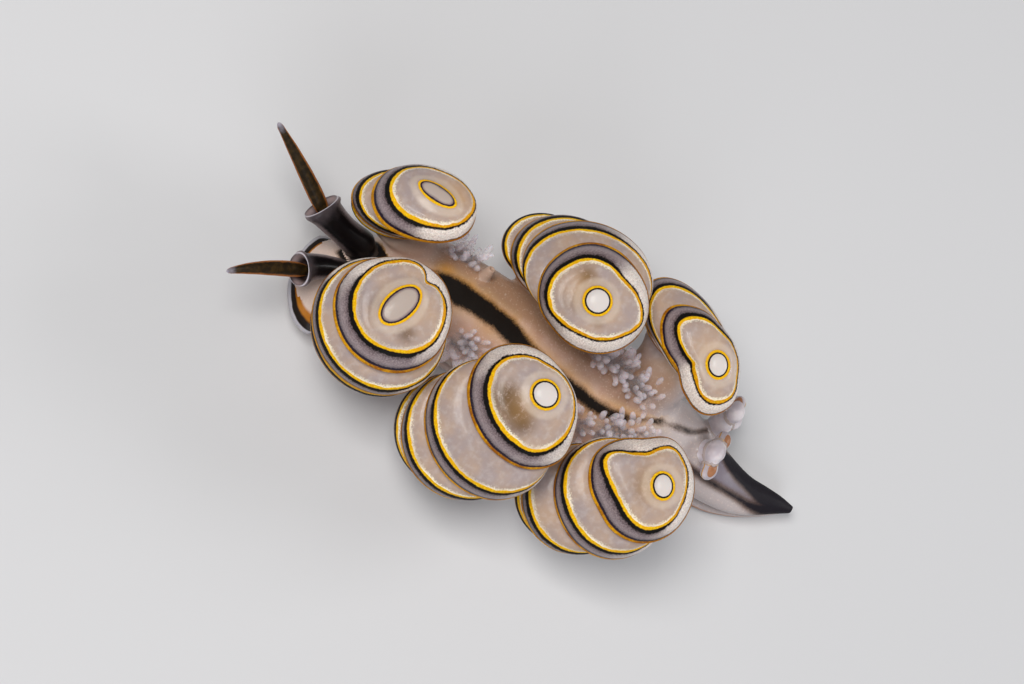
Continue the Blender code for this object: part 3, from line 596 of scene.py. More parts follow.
print("rings of the knob:", len(KNOB))

# %% [markdown]
# The paint must know where on the stack a point lies. Each meridian is measured from the top
# down, and the length from one named ring to the next gives the share: tier 0 is the top, 0.5
# the first golden shoulder, 1 the first lip, and so on down to the stalk.

# %% Paint numbers of a ceras
STALK, FADE = 0.4, 0.3      # tiers from the last lip to the root, and to where the rings end
TOP_RISE = 0.045            # height of the knob's top over its spot


def ceras_paint(spec, rows, angles, spot, shoulders, lips, top):
    """Numbers for the paint, all from the length run down each meridian from the top."""
    step = np.linalg.norm(np.diff(rows, axis=0), axis=2)
    first = np.linalg.norm(rows[0] - top, axis=1)
    run = np.concatenate([[first], first + np.cumsum(step, axis=0)])
    named = np.stack([shoulders, lips], axis=1).ravel()
    marks = np.concatenate([np.zeros((1, len(first))), run[named], run[-1:]])
    rise = np.array([0.5 * k for k in range(len(marks) - 1)] + [len(lips) + STALK])
    spans = np.diff(marks, axis=0)
    tier, share, span = np.zeros_like(run), np.zeros_like(run), np.zeros(run.shape, int)
    for k, width in enumerate(spans):
        inside = run >= marks[k]
        part = (run - marks[k]) / width
        tier = np.where(inside, rise[k] + (rise[k + 1] - rise[k]) * np.minimum(part, 1.0), tier)
        share, span = np.where(inside, part, share), np.where(inside, k, span)
    # Past its own stretch, a point takes the band or field that lies nearer
    other = np.clip(np.where(share < 0.5, span - 1, span + 1), 0, len(spans) - 1)
    odd = np.where(span % 2 == 1, span, np.where(span == 0, 1, np.minimum(other, len(spans) - 2)))
    even = np.where(span % 2 == 0, span, other)
    column = np.broadcast_to(np.arange(len(angles)), run.shape)
    band, field = spans[odd, column], spans[even, column]
    near = run - run[spot]
    return dict(
        tier=with_poles(tier, 0.0, len(lips) + STALK),
        band=with_poles(band, band[0].mean(), band[-1].mean()),
        field=with_poles(field, field[0].mean(), field[-1].mean()),
        spot=with_poles(np.where(tier < 0.5, near, FAR), -run[spot].mean(), FAR),
        outward=by_turn(rows, angles),
        ceras=with_poles(np.clip(1.0 - (tier - len(lips)) / FADE, 0.0, 1.0), 1.0, 0.0),
        plain_spot=spec["plain_spot"])


def make_ceras(name, part):
    """One closed stack, knob to root, with its root well inside the trunk."""
    spec = CERATA[name]
    angles = circle(CERAS_SEGMENTS)
    rows, spot, shoulders, lips = ceras_rows(spec, angles)
    top = np.array(spec["spot_at"]) + TOP_RISE * unit((*spec["tilt"], 1.0))
    paint = ceras_paint(spec, rows, angles, spot, shoulders, lips, top)
    return skin_mesh(name + "_skin", rows, top, rows[-1].mean(axis=0), part=part, **paint)


cerata = [make_ceras(name, 10.0 + i) for i, name in enumerate(CERATA)]
print("faces on the large cerata:", sum(len(c.data.polygons) for c in cerata))

# %% [markdown]
# Behind the large cerata sit two small ones, a pair of short clubs with a few round
# tubercles, each with a ringed spot on its tip. A tubercle is a plain ball here. Its paint
# follows the distance from the ball's own tip, so the ring sits where the ball points.

# %% Small cerata
SMALL_CERATA = {
    "ceras_left_4": dict(
        base=(-0.45, 7.05, 2.00), tip=(-0.52, 7.22, 3.02), radius=0.46,
        tubercles=(     # centre, radius, and the way its spot faces
            ((0.04, 7.40, 2.84), 0.31, (0.10, 0.05, 0.99)),
            ((-0.99, 7.36, 2.94), 0.29, (0.05, 0.30, 0.95)),
            ((-0.50, 7.24, 3.08), 0.36, None))),
    "ceras_right_4": dict(
        base=(-1.15, 7.05, 1.75), tip=(-2.10, 7.36, 2.62), radius=0.42,
        tubercles=(
            ((-2.20, 7.36, 2.84), 0.32, None),
            ((-2.58, 7.46, 2.52), 0.26, (0.10, -0.55, 0.83)),
            ((-2.05, 7.62, 2.44), 0.26, None))),
}
SMALL_SPOT = 0.22       # radius of the painted spot on a tubercle
TUBERCLE_LONG = 1.35    # how much longer than wide a tubercle is
SPOT_LONG = (-0.95, -0.20, 0.25)    # way in which that spot is longest
SMALL_PAINT = dict(tier=0.2, band=1.0, field=8.0, ceras=1.0)
SMALL_SWELL = (         # share of the way from base to tip, share of the radius
    (0.0, 0.80), (0.35, 0.86), (0.62, 1.02), (0.84, 0.92), (0.96, 0.55))


def make_tubercle(at, radius, face, part):
    """Oval ball with its pole on the spot. Paint number: the arc from the pole, less the spot."""
    axis = unit(face if face is not None else (0.0, 0.3, 1.0))
    across = unit(np.cross(axis, SPOT_LONG))
    along = np.cross(across, axis)
    v, u = np.linspace(0, np.pi, 21)[1:-1, None], circle(36)[None]
    size = radius * np.array([TUBERCLE_LONG, 1.0, 1.0])
    ball = (np.cos(v)[..., None] * axis + (np.sin(v) * np.cos(u))[..., None] * along
            + (np.sin(v) * np.sin(u))[..., None] * across)
    arc = v * radius * (1 - 0.20 * np.cos(2 * u)) - SMALL_SPOT
    near = with_poles(arc, -SMALL_SPOT, np.pi * radius - SMALL_SPOT) if face is not None else FAR
    return skin_mesh("tubercle", at + size * ball, at + size * axis, at - size * axis, spot=near,
                     plain_spot=1.6, part=part, **SMALL_PAINT)


def make_small_ceras(name, part):
    """Club of five circles from base to tip, with its tubercles beside it."""
    spec = SMALL_CERATA[name]
    base, tip = np.array(spec["base"]), np.array(spec["tip"])
    rings = [ring(base + (tip - base) * f, tip - base, (1.0, 0.2), spec["radius"] * swell,
                  spec["radius"] * swell, circle(44)) for f, swell in SMALL_SWELL]
    rows, _ = refine(rings, 0.07)
    club = skin_mesh(name + "_club", rows, base, tip, spot=FAR, part=part, **SMALL_PAINT)
    return [club] + [make_tubercle(at, radius, face, part + 0.1 * (k + 1))
                     for k, (at, radius, face) in enumerate(spec["tubercles"])]


small = [piece for i, name in enumerate(SMALL_CERATA)
         for piece in make_small_ceras(name, 20.0 + i)]
print("pieces of the small cerata:", len(small))

# %% [markdown]
# A rhinophore is the slug's nose. It stands in a collar shaped like a trumpet, into which
# it can draw back. The collar is one surface of revolution bent along a curve: it runs up
# the outside, over the thin rim and down the inside to the floor of the cup.

# %% Collars of the rhinophores
HORNS = {
    "left": dict(base=(0.90, -6.70, 2.40), mid=(1.14, -7.94, 2.77), rim=(1.92, -8.60, 3.02),
                 club_mid=(2.62, -9.85, 3.56), tip=(3.33, -10.68, 3.35),
                 collar=(0.40, 0.39, 0.38, 0.39, 0.41, 0.44, 0.49, 0.56),
                 cup=(0.53, 0.46, 0.38, 0.30)),
    "right": dict(base=(-0.13, -6.84, 2.38), mid=(0.08, -7.93, 3.15), rim=(-0.23, -9.04, 3.32),
                  club_mid=(-0.89, -10.21, 3.67), tip=(-1.58, -11.70, 4.00),
                  collar=(0.55, 0.54, 0.52, 0.50, 0.50, 0.52, 0.56, 0.63),
                  cup=(0.61, 0.53, 0.42, 0.32)),
}
CUP_DEPTHS, CUP_FLOOR = (-0.015, 0.08, 0.20, 0.36), 0.42
CUP_LEVELS = (1.03, 1.10, 1.25, 1.40)   # the paint number on the rings of the cup
RIM_WAVE = 0.035
SIGHT = (0.30, -0.28, 0.91)     # towards the camera: the dark core of a collar and a club faces it
CLUB_RADII = (0.18, 0.24, 0.26, 0.26, 0.25, 0.24, 0.22, 0.20, 0.18, 0.15, 0.12, 0.07)
CLUB_SINK = 0.27


def bend_path(start, middle, end, steps):
    """Points (1-f)^2 start + 2 f (1-f) middle + f^2 end."""
    start, middle, end = (np.array(p, float) for p in (start, middle, end))
    f = np.linspace(0, 1, steps)[:, None]
    return start * (1 - f)**2 + 2 * middle * f * (1 - f) + end * f**2


def tube_rings(path, radii, angles, bend=(0.0, 0.0, 1.0)):
    """Circles square to a path: point + radius (cos a side + sin a up)."""
    path = np.asarray(path, float)
    run = unit(np.gradient(path, axis=0))
    side = unit(np.cross(run, bend))
    up = np.cross(side, run)
    radii = np.asarray(radii, float).reshape(-1, 1, 1) * np.ones((1, len(angles), 1))
    return (path[:, None] + radii * (np.cos(angles)[None, :, None] * side[:, None]
                                     + np.sin(angles)[None, :, None] * up[:, None]))


def make_sheath(side, part):
    """Outside up, rim over, inside down; the paint number runs 0 to 1 up the outside."""
    horn = HORNS[side]
    angles = circle(56)
    path = bend_path(horn["base"], horn["mid"], horn["rim"], len(horn["collar"]))
    inward = unit(np.subtract(horn["rim"], horn["club_mid"]))
    longer = [*path, path[-1] - 0.5 * inward]
    outer = tube_rings(longer, [*horn["collar"], 0.0], angles, SIGHT)[:-1]
    wave = 1 + RIM_WAVE * np.sin(3 * angles + 0.6)[None, :, None]
    outer[-1:] = path[-1] + (outer[-1:] - path[-1]) * wave
    shape = unit(outer[-1] - path[-1])
    inner = [path[-1] + inward * depth + shape * radius
             for depth, radius in zip(CUP_DEPTHS, horn["cup"])]
    rows, marks = refine([*outer, *inner], 0.08)
    level = np.interp(np.arange(len(rows)), marks, [*np.linspace(0, 1, len(outer)), *CUP_LEVELS])
    return skin_mesh("sheath_" + side + "_skin", rows, path[0], path[-1] + inward * CUP_FLOOR,
                     collar=by_row(level, angles, 0.0, CUP_LEVELS[-1]),
                     collar_side=by_turn(rows, angles), part=part)


collars = [make_sheath(side, 30.0 + i) for i, side in enumerate(HORNS)]
print("faces on the collars:", [len(c.data.polygons) for c in collars])

# %% [markdown]
# Between the first and the second ceras of the right side stands the anal tube, a short
# soft chimney. It is seated square to the skin, at an angle round the trunk.

# %% Anal tube
def trunk_seat(y, degrees):
    """A point on the trunk's side at y, and the way out of the skin there."""
    before, at, after = trunk_points([y], np.radians([degrees - 2.0, degrees, degrees + 2.0]))[0]
    return at, unit(np.cross((0, 1, 0), after - before))


PAPILLA_AT = (-3.12, 118.0)     # y and angle on the trunk's side
PAPILLA_HEIGHTS = (-0.30, 0.06, 0.26, 0.42, 0.50, 0.46, 0.36)
PAPILLA_RADII = (0.42, 0.25, 0.19, 0.15, 0.10, 0.06, 0.04)


def make_papilla(part):
    """Short tube whose rim folds in over its opening."""
    at, out = trunk_seat(*PAPILLA_AT)
    path = np.array([at + out * height for height in PAPILLA_HEIGHTS])
    along = unit(np.cross(out, (0.3, 0.95, 0.0)))
    across = np.cross(out, along)
    angles = circle(40)[None, :, None]
    turn = np.cos(angles) * along + np.sin(angles) * across
    rings = path[:, None] + np.array(PAPILLA_RADII)[:, None, None] * turn
    rows, _ = refine(rings, 0.05)
    return skin_mesh("papilla_skin", rows, path[0], path[-1], part=part)


papilla = make_papilla(40.0)
print("faces on the anal tube:", len(papilla.data.polygons))

# %% [markdown]
# All these closed forms are joined to one skin. A union leaves a hard crease where a ceras
# meets the back, and flesh has none, so the points near each crease are eased: a weight of
# one on the crease fades out over a few rows, and each point drifts towards the mean of
# its neighbours by that weight.

# %% Join the skin and ease its creases
def boolean(obj, operation, pieces):
    """Boolean of obj with closed pieces, which are dropped after it."""
    group = bpy.data.collections.new("pieces")
    bpy.context.scene.collection.children.link(group)
    for piece in pieces:
        bpy.context.scene.collection.objects.unlink(piece)
        group.objects.link(piece)
    mod = obj.modifiers.new("boolean", "BOOLEAN")
    mod.operation, mod.solver = operation, "MANIFOLD"
    mod.operand_type, mod.collection = "COLLECTION", group
    take_modifiers(obj)
    for piece in pieces:
        bpy.data.objects.remove(piece)
    bpy.data.collections.remove(group)


def take_modifiers(obj):
    """Keep what the modifiers make as the mesh itself."""
    bpy.context.view_layer.update()
    graph = bpy.context.evaluated_depsgraph_get()
    mesh = bpy.data.meshes.new_from_object(obj.evaluated_get(graph))
    obj.modifiers.clear()
    obj.data = mesh


def ease_creases(obj, rows=7, rounds=24):
    """Drift of each point to its neighbours' mean, by a weight that fades off a crease."""
    mesh = obj.data
    n = len(mesh.vertices)
    edges, co, part = np.empty(len(mesh.edges) * 2, int), np.empty(n * 3), np.empty(n, np.float32)
    mesh.edges.foreach_get("vertices", edges)
    mesh.vertices.foreach_get("co", co)
    mesh.attributes["part"].data.foreach_get("value", part)
    (a, b), co = edges.reshape(-1, 2).T, co.reshape(-1, 3)
    degree = np.bincount(a, minlength=n) + np.bincount(b, minlength=n)
    crease = np.abs(part[a] - part[b]) > 0.05
    reach = np.zeros(n)
    reach[a[crease]] = reach[b[crease]] = 1.0
    for _ in range(rows):
        spread = np.zeros(n)
        np.maximum.at(spread, a, reach[b])
        np.maximum.at(spread, b, reach[a])
        reach = np.maximum(reach, spread - 1.0 / rows)
    weight = 0.6 * reach[:, None]**1.5
    for _ in range(rounds):
        total = np.stack([np.bincount(a, co[b, k], n) + np.bincount(b, co[a, k], n)
                          for k in range(3)], axis=1)
        co += weight * (total / degree[:, None] - co)
    mesh.vertices.foreach_set("co", co.ravel())
    mesh.update()
    return int(crease.sum())


skin = trunk
boolean(skin, "UNION", [foot, veil, *lips, *cerata, *small, *collars, papilla])
boolean(skin, "DIFFERENCE", [make_ball("slit", MOUTH + ahead * SLIT_AHEAD, SLIT_SIZE)])
creases = ease_creases(skin)
skin.name = skin.data.name = "slug_skin"
skin.data.shade_smooth()
print("skin:", len(skin.data.vertices), "points,", creases, "crease edges eased")

# %% [markdown]
# The gills are little bushes of blunt fingers at the feet of the cerata, clear as glass
# with a milky core. They are made by one loop: a row of seats along the trunk's skin, a few
# fingers from each, and every finger a bent tube that swells to a round tip.

# %% Gill tufts
GILLS = {       # y and angle on the trunk's side at each end of the tuft
    "gill_left_1": ((-2.95, 40.0), (-2.05, 40.0)),
    "gill_left_2": ((1.75, 44.0), (2.55, 46.0)),
    "gill_left_3": ((2.95, 54.0), (4.85, 68.0)),
    "gill_right_1": ((-4.50, 132.0), (-3.60, 130.0)),
    "gill_right_2": ((1.55, 124.0), (2.60, 116.0)),
    "gill_right_3": ((2.90, 108.0), (4.20, 103.0)),
}
FINGER_SPACING, FINGER_LEANS = 0.20, (-1.45, -0.75, 0.0, 0.75, 1.45)
FINGER_SHARES = np.array([0.00, 0.25, 0.50, 0.70, 0.86, 0.96, 1.00])    # of its length
FINGER_RADII = np.array([0.115, 0.094, 0.096, 0.104, 0.096, 0.060, 0.018])
FORWARD = (0.31, 0.95, 0.05)     # a way that no finger points
FINGER_LENGTH, LEAN_SHORTER = 0.74, 0.06    # mm, and how much less for each unit of lean
FINGER_TURN = circle(12)
STUB_HEIGHTS, STUB_RADII = (-0.1, 0.12, 0.26, 0.34), (0.26, 0.24, 0.16, 0.06)


def make_gill(name, seed):
    """Fingers fanned over a strip of the trunk's skin, each bent a little off its own aim."""
    rng = np.random.default_rng(seed)
    start, end = np.array(GILLS[name])
    count = int((end[0] - start[0]) / FINGER_SPACING) + 2
    seats = [trunk_seat(*(start + (end - start) * f)) for f in np.linspace(0, 1, count)]
    run = unit(seats[-1][0] - seats[0][0])
    stacks = []
    for at, out in seats:
        side = np.cross(run, out)
        stub = tube_rings(at + np.outer(STUB_HEIGHTS, out), STUB_RADII, FINGER_TURN, run)
        stacks.append((refine(stub, 0.07)[0], 0.0))
        for lean in FINGER_LEANS:
            sway, drift = rng.uniform(-0.2, 0.2), rng.uniform(-0.6, 0.6)
            aim = unit(side * (lean + sway) + run * drift + out)
            length = (FINGER_LENGTH - LEAN_SHORTER * abs(lean)) * rng.uniform(0.70, 1.20)
            root = at + side * lean * 0.15 + run * rng.uniform(-0.08, 0.08) - out * 0.06
            turn = np.array([*rng.uniform(-0.35, 0.35, 2), 0.05])
            bend = np.outer(FINGER_SHARES, aim) + np.outer(FINGER_SHARES**2, turn)
            path = root + length * bend
            radii = FINGER_RADII * rng.uniform(0.85, 1.15)
            stacks.append((refine(tube_rings(path, radii, FINGER_TURN, FORWARD), 0.06)[0], 1.0))
    along = np.concatenate([by_row(np.linspace(0, top, len(rows)), FINGER_TURN, 0.0, top)
                            for rows, top in stacks])
    obj = closed_mesh(name + "_fingers", [(rows,) for rows, _ in stacks], dict(along=along),
                      ("along",))
    obj.data.shade_smooth()
    return obj


gills = {name: make_gill(name, seed) for seed, name in enumerate(GILLS)}
print("faces on the gills:", sum(len(g.data.polygons) for g in gills.values()))

# %% [markdown]
# The rhinophores themselves are slender clubs with blunt tips. They stay apart from the
# skin, because they slide in their collars. Their sides carry a thin bright edge, so the
# mesh stores how far round the club each point lies.

# %% Rhinophore clubs
def make_club(side):
    """Tube along an arc, from a narrow neck to a blunt tip, with its rows read finely."""
    horn = HORNS[side]
    start = horn["rim"] - CLUB_SINK * unit(np.subtract(horn["club_mid"], horn["rim"]))
    path = bend_path(start, horn["club_mid"], horn["tip"], len(CLUB_RADII))
    end = path[-1] + unit(path[-1] - path[-2]) * np.array([[0.03], [0.05]])
    angles = circle(48)
    rings = tube_rings(np.vstack([path, end]), [*CLUB_RADII, 0.045, 0.015], angles, SIGHT)
    rows, _ = refine(rings, 0.09)
    along = by_row(np.linspace(0, 1, len(rows)), angles, 0.0, 1.0)
    obj = closed_mesh("club_" + side, [(rows,)], dict(along=along, edge=by_turn(rows, angles)),
                      ("along", "edge"))
    obj.data.shade_smooth()
    return obj


clubs = {side: make_club(side) for side in HORNS}
print("faces on a club:", len(clubs["left"].data.polygons))

# %% [markdown]
# Paint is laid with shader nodes, and a small bench of helpers keeps each line readable. A
# number on the bench can be added, multiplied and compared as in plain arithmetic, and each
# such sign makes one Math node. Colours are written as the eye reads them, by name, and
# turned to linear light.

# %% Colours and numbers
def tone(red, green, blue):
    """Linear RGBA of a colour given as 0 to 255."""
    c = np.array([red, green, blue]) / 255.0
    return (*np.where(c <= 0.04045, c / 12.92, ((c + 0.055) / 1.055)**2.4), 1.0)


def palette(**colours):
    """Named colours, so that palette(ink=(9, 6, 5)).ink is ready for a shader."""
    return SimpleNamespace(**{name: tone(*colour) for name, colour in colours.items()})


def sums(operation, turned=False):
    """A method that makes one Math node of a number and another, in this order or turned."""
    def method(self, *other):
        values = (self, *other)
        return self.bench.calc(operation, *(values[::-1] if turned else values))
    return method


class Number:
    """A number in a node tree. Arithmetic on it makes Math nodes and gives a new number."""
    __add__ = __radd__ = sums("ADD")
    __mul__ = __rmul__ = sums("MULTIPLY")
    __sub__, __rsub__ = sums("SUBTRACT"), sums("SUBTRACT", turned=True)
    __truediv__, __gt__ = sums("DIVIDE"), sums("GREATER_THAN")
    __abs__, most = sums("ABSOLUTE"), sums("MAXIMUM")

    def __init__(self, bench, socket):
        self.bench, self.socket = bench, socket

    def rise(self, low, high):
        """Soft step: 0 at low, 1 at high."""
        made = self.bench.node("ShaderNodeMapRange", interpolation_type="SMOOTHSTEP")
        for key, value in (("Value", self), ("From Min", low), ("From Max", high)):
            self.bench.feed(made.inputs[key], value)
        return Number(self.bench, made.outputs["Result"])

    def stroke(self, low, high, soft):
        """Soft line: 1 between low and high, fading over soft at both sides."""
        return self.rise(low - soft, low + soft) - self.rise(high - soft, high + soft)

    def spread(self, half):
        """A noise of 0 to 1 turned to plus and minus half."""
        return self * (2.0 * half) - half


print("gold in linear light:", [round(float(c), 3) for c in tone(250, 204, 12)])

# %% [markdown]
# The bench makes the nodes. Patterns read Object coordinates, turned to millimetres, so that
# a grain of so many features a millimetre keeps its true size on every piece.

# %% Bench
class Bench:
    """Short calls for the nodes of one tree."""

    def __init__(self, tree):
        self.tree = tree

    def feed(self, socket, value):
        """Link a number or a socket, or set a plain value."""
        value = getattr(value, "socket", value)
        if isinstance(value, bpy.types.NodeSocket):
            self.tree.links.new(value, socket)
        else:
            socket.default_value = value

    def node(self, kind, **settings):
        """A node of a kind, with its own settings."""
        made = self.tree.nodes.new(kind)
        for key, value in settings.items():
            setattr(made, key, value)
        return made

    def calc(self, operation, *values):
        """One sum on numbers."""
        made = self.node("ShaderNodeMath", operation=operation)
        for socket, value in zip(made.inputs, values):
            self.feed(socket, value)
        return Number(self, made.outputs[0])

    def number(self, key):
        """A paint number of the mesh."""
        return Number(self, self.node("ShaderNodeAttribute", attribute_name=key).outputs["Fac"])

    @cached_property
    def place(self):
        """Object coordinates in millimetres."""
        scaled = self.node("ShaderNodeVectorMath", operation="SCALE")
        self.feed(scaled.inputs[0], self.node("ShaderNodeTexCoord").outputs["Object"])
        scaled.inputs["Scale"].default_value = 1.0 / MM
        return scaled.outputs[0]

    def axes(self):
        """The x, y and z of the place."""
        split = self.node("ShaderNodeSeparateXYZ")
        self.feed(split.inputs[0], self.place)
        return (Number(self, socket) for socket in split.outputs)

    def texture(self, kind, output, **inputs):
        """A texture of the place, with plain values for its inputs."""
        made = self.node(kind)
        for key, value in dict(Vector=self.place, **inputs).items():
            self.feed(made.inputs[key], value)
        return Number(self, made.outputs[output])

    def grain(self, per_mm, detail=2.0, rough=0.5):
        """Noise about 0.5, with so many features a millimetre."""
        return self.texture("ShaderNodeTexNoise", "Fac", Scale=per_mm, Detail=detail,
                            Roughness=rough)

    def cells(self, per_mm):
        """Distance to the nearest of scattered points, for beads."""
        return self.texture("ShaderNodeTexVoronoi", "Distance", Scale=per_mm)

    def near(self, centre, radius):
        """1 at a named place on the slug, falling softly to 0 at radius."""
        made = self.node("ShaderNodeVectorMath", operation="DISTANCE")
        self.feed(made.inputs[0], self.place)
        made.inputs[1].default_value = centre
        return Number(self, made.outputs["Value"]).rise(radius, 0.0)

    def blend(self, share, a, b):
        """Colour a at share 0 and b at share 1."""
        made = self.node("ShaderNodeMix", data_type="RGBA")
        for index, value in ((0, share), (6, a), (7, b)):
            self.feed(made.inputs[index], value)
        return made.outputs[2]


print("calls on the bench:", [name for name in vars(Bench) if not name.startswith("_")])

# %% [markdown]
# Paint goes on in layers, as on a model. A coat holds the colour so far, and each layer is a
# second colour laid over it where a mask says. A finished paint is kept as a node group.

# %% Layers and groups
class Coat:
    """Layers of paint, which hold the colour so far."""

    def __init__(self, bench, colour):
        self.bench, self.colour = bench, colour

    def lay(self, over, mask, strength=None):
        """A colour over the ones before, where a mask says, at a given strength."""
        share = mask if strength is None else mask * strength
        self.colour = self.bench.blend(share, self.colour, over)


PAINT_OUTPUTS = {"Color": "Color", "Height": "Float", "Pigment": "Float"}


def paint_group(name):
    """A bench on an empty node group that gives out a colour, a height and a pigment."""
    tree = bpy.data.node_groups.new(name, "ShaderNodeTree")
    for key, kind in PAINT_OUTPUTS.items():
        tree.interface.new_socket(key, in_out="OUTPUT", socket_type="NodeSocket" + kind)
    return Bench(tree)


def give_out(bench, *values):
    """Feed the outputs of the bench's group, in their order, and return the group."""
    for socket, value in zip(bench.node("NodeGroupOutput").inputs, values):
        bench.feed(socket, value)
    return bench.tree


print("a paint group gives out:", ", ".join(PAINT_OUTPUTS))

# %% [markdown]
# The ringed pattern reads as a recipe from the middle of the cap outwards: a pale spot,
# a thin dark ring, a golden ring, a clear greyish field with brown shadows of the gut,
# painted highlights of white glints, the beaded golden line, a black line with a frayed edge, a
# grey speckled band that is dark on the outward side and white on the inward side, a thin
# plum line and the orange lip. Distances are in true millimetres, so each line is as wide as a
# real one.

# %% Ringed paint of the cerata
RINGED = palette(
    ink=(9, 6, 5), plum=(28, 18, 36), gold=(250, 204, 12), amber=(216, 148, 4), rust=(150, 88, 8),
    pearl=(214, 206, 202), milk=(206, 196, 192), field_tan=(182, 156, 136),
    field_grey=(162, 147, 145), seam_shade=(160, 138, 134), seam_pale=(222, 216, 220),
    gut_brown=(98, 70, 38), dust=(250, 240, 214), gut_amber=(196, 150, 92),
    band_slate=(84, 68, 72), band_stone=(138, 122, 124), band_cream=(206, 192, 184),
    band_white=(240, 230, 222), band_sheen=(170, 156, 158), band_shade=(46, 34, 34),
    lip_edge=(62, 38, 22), lip_dark=(190, 128, 14), lip_bright=(240, 176, 8),
    halo=(216, 198, 180), clouded=(186, 178, 186), clear=(226, 218, 222),
    small_ring=(196, 150, 84), ring_shade=(40, 28, 44), spot_rim=(176, 160, 150),
    spot_heart=(128, 108, 108), small_spot_dark=(140, 92, 62), small_spot_pale=(176, 126, 92))
GLOWS = (       # amber light of the gut round some spots: place, radius, strength
    ((-1.30, -1.15, 7.50), 1.0, 0.40), ((-1.95, -6.05, 6.95), 0.9, 0.45),
    ((3.10, -0.95, 7.30), 0.9, 0.30), ((2.95, 4.30, 7.00), 0.9, 0.45),
    ((-1.95, 3.95, 7.35), 0.6, 0.35),
)
GUTS = (        # brown shadows of the gut under the cap: place, radius, strength
    ((3.31, -1.16, 7.15), 0.85, 1.0), ((3.05, -1.60, 7.05), 0.80, 1.0),
    ((3.55, -0.75, 7.15), 0.70, 0.9), ((-1.74, -1.13, 7.35), 0.55, 1.0),
    ((-0.80, -1.22, 7.35), 0.85, 0.45), ((-0.62, -0.10, 7.45), 0.35, 0.45),
    ((3.01, -5.41, 6.85), 0.50, 0.80), ((2.62, -6.62, 6.75), 0.80, 0.35),
    ((2.94, 4.16, 6.85), 0.95, 0.60), ((-1.9, 4.1, 7.2), 0.55, 0.35),
)


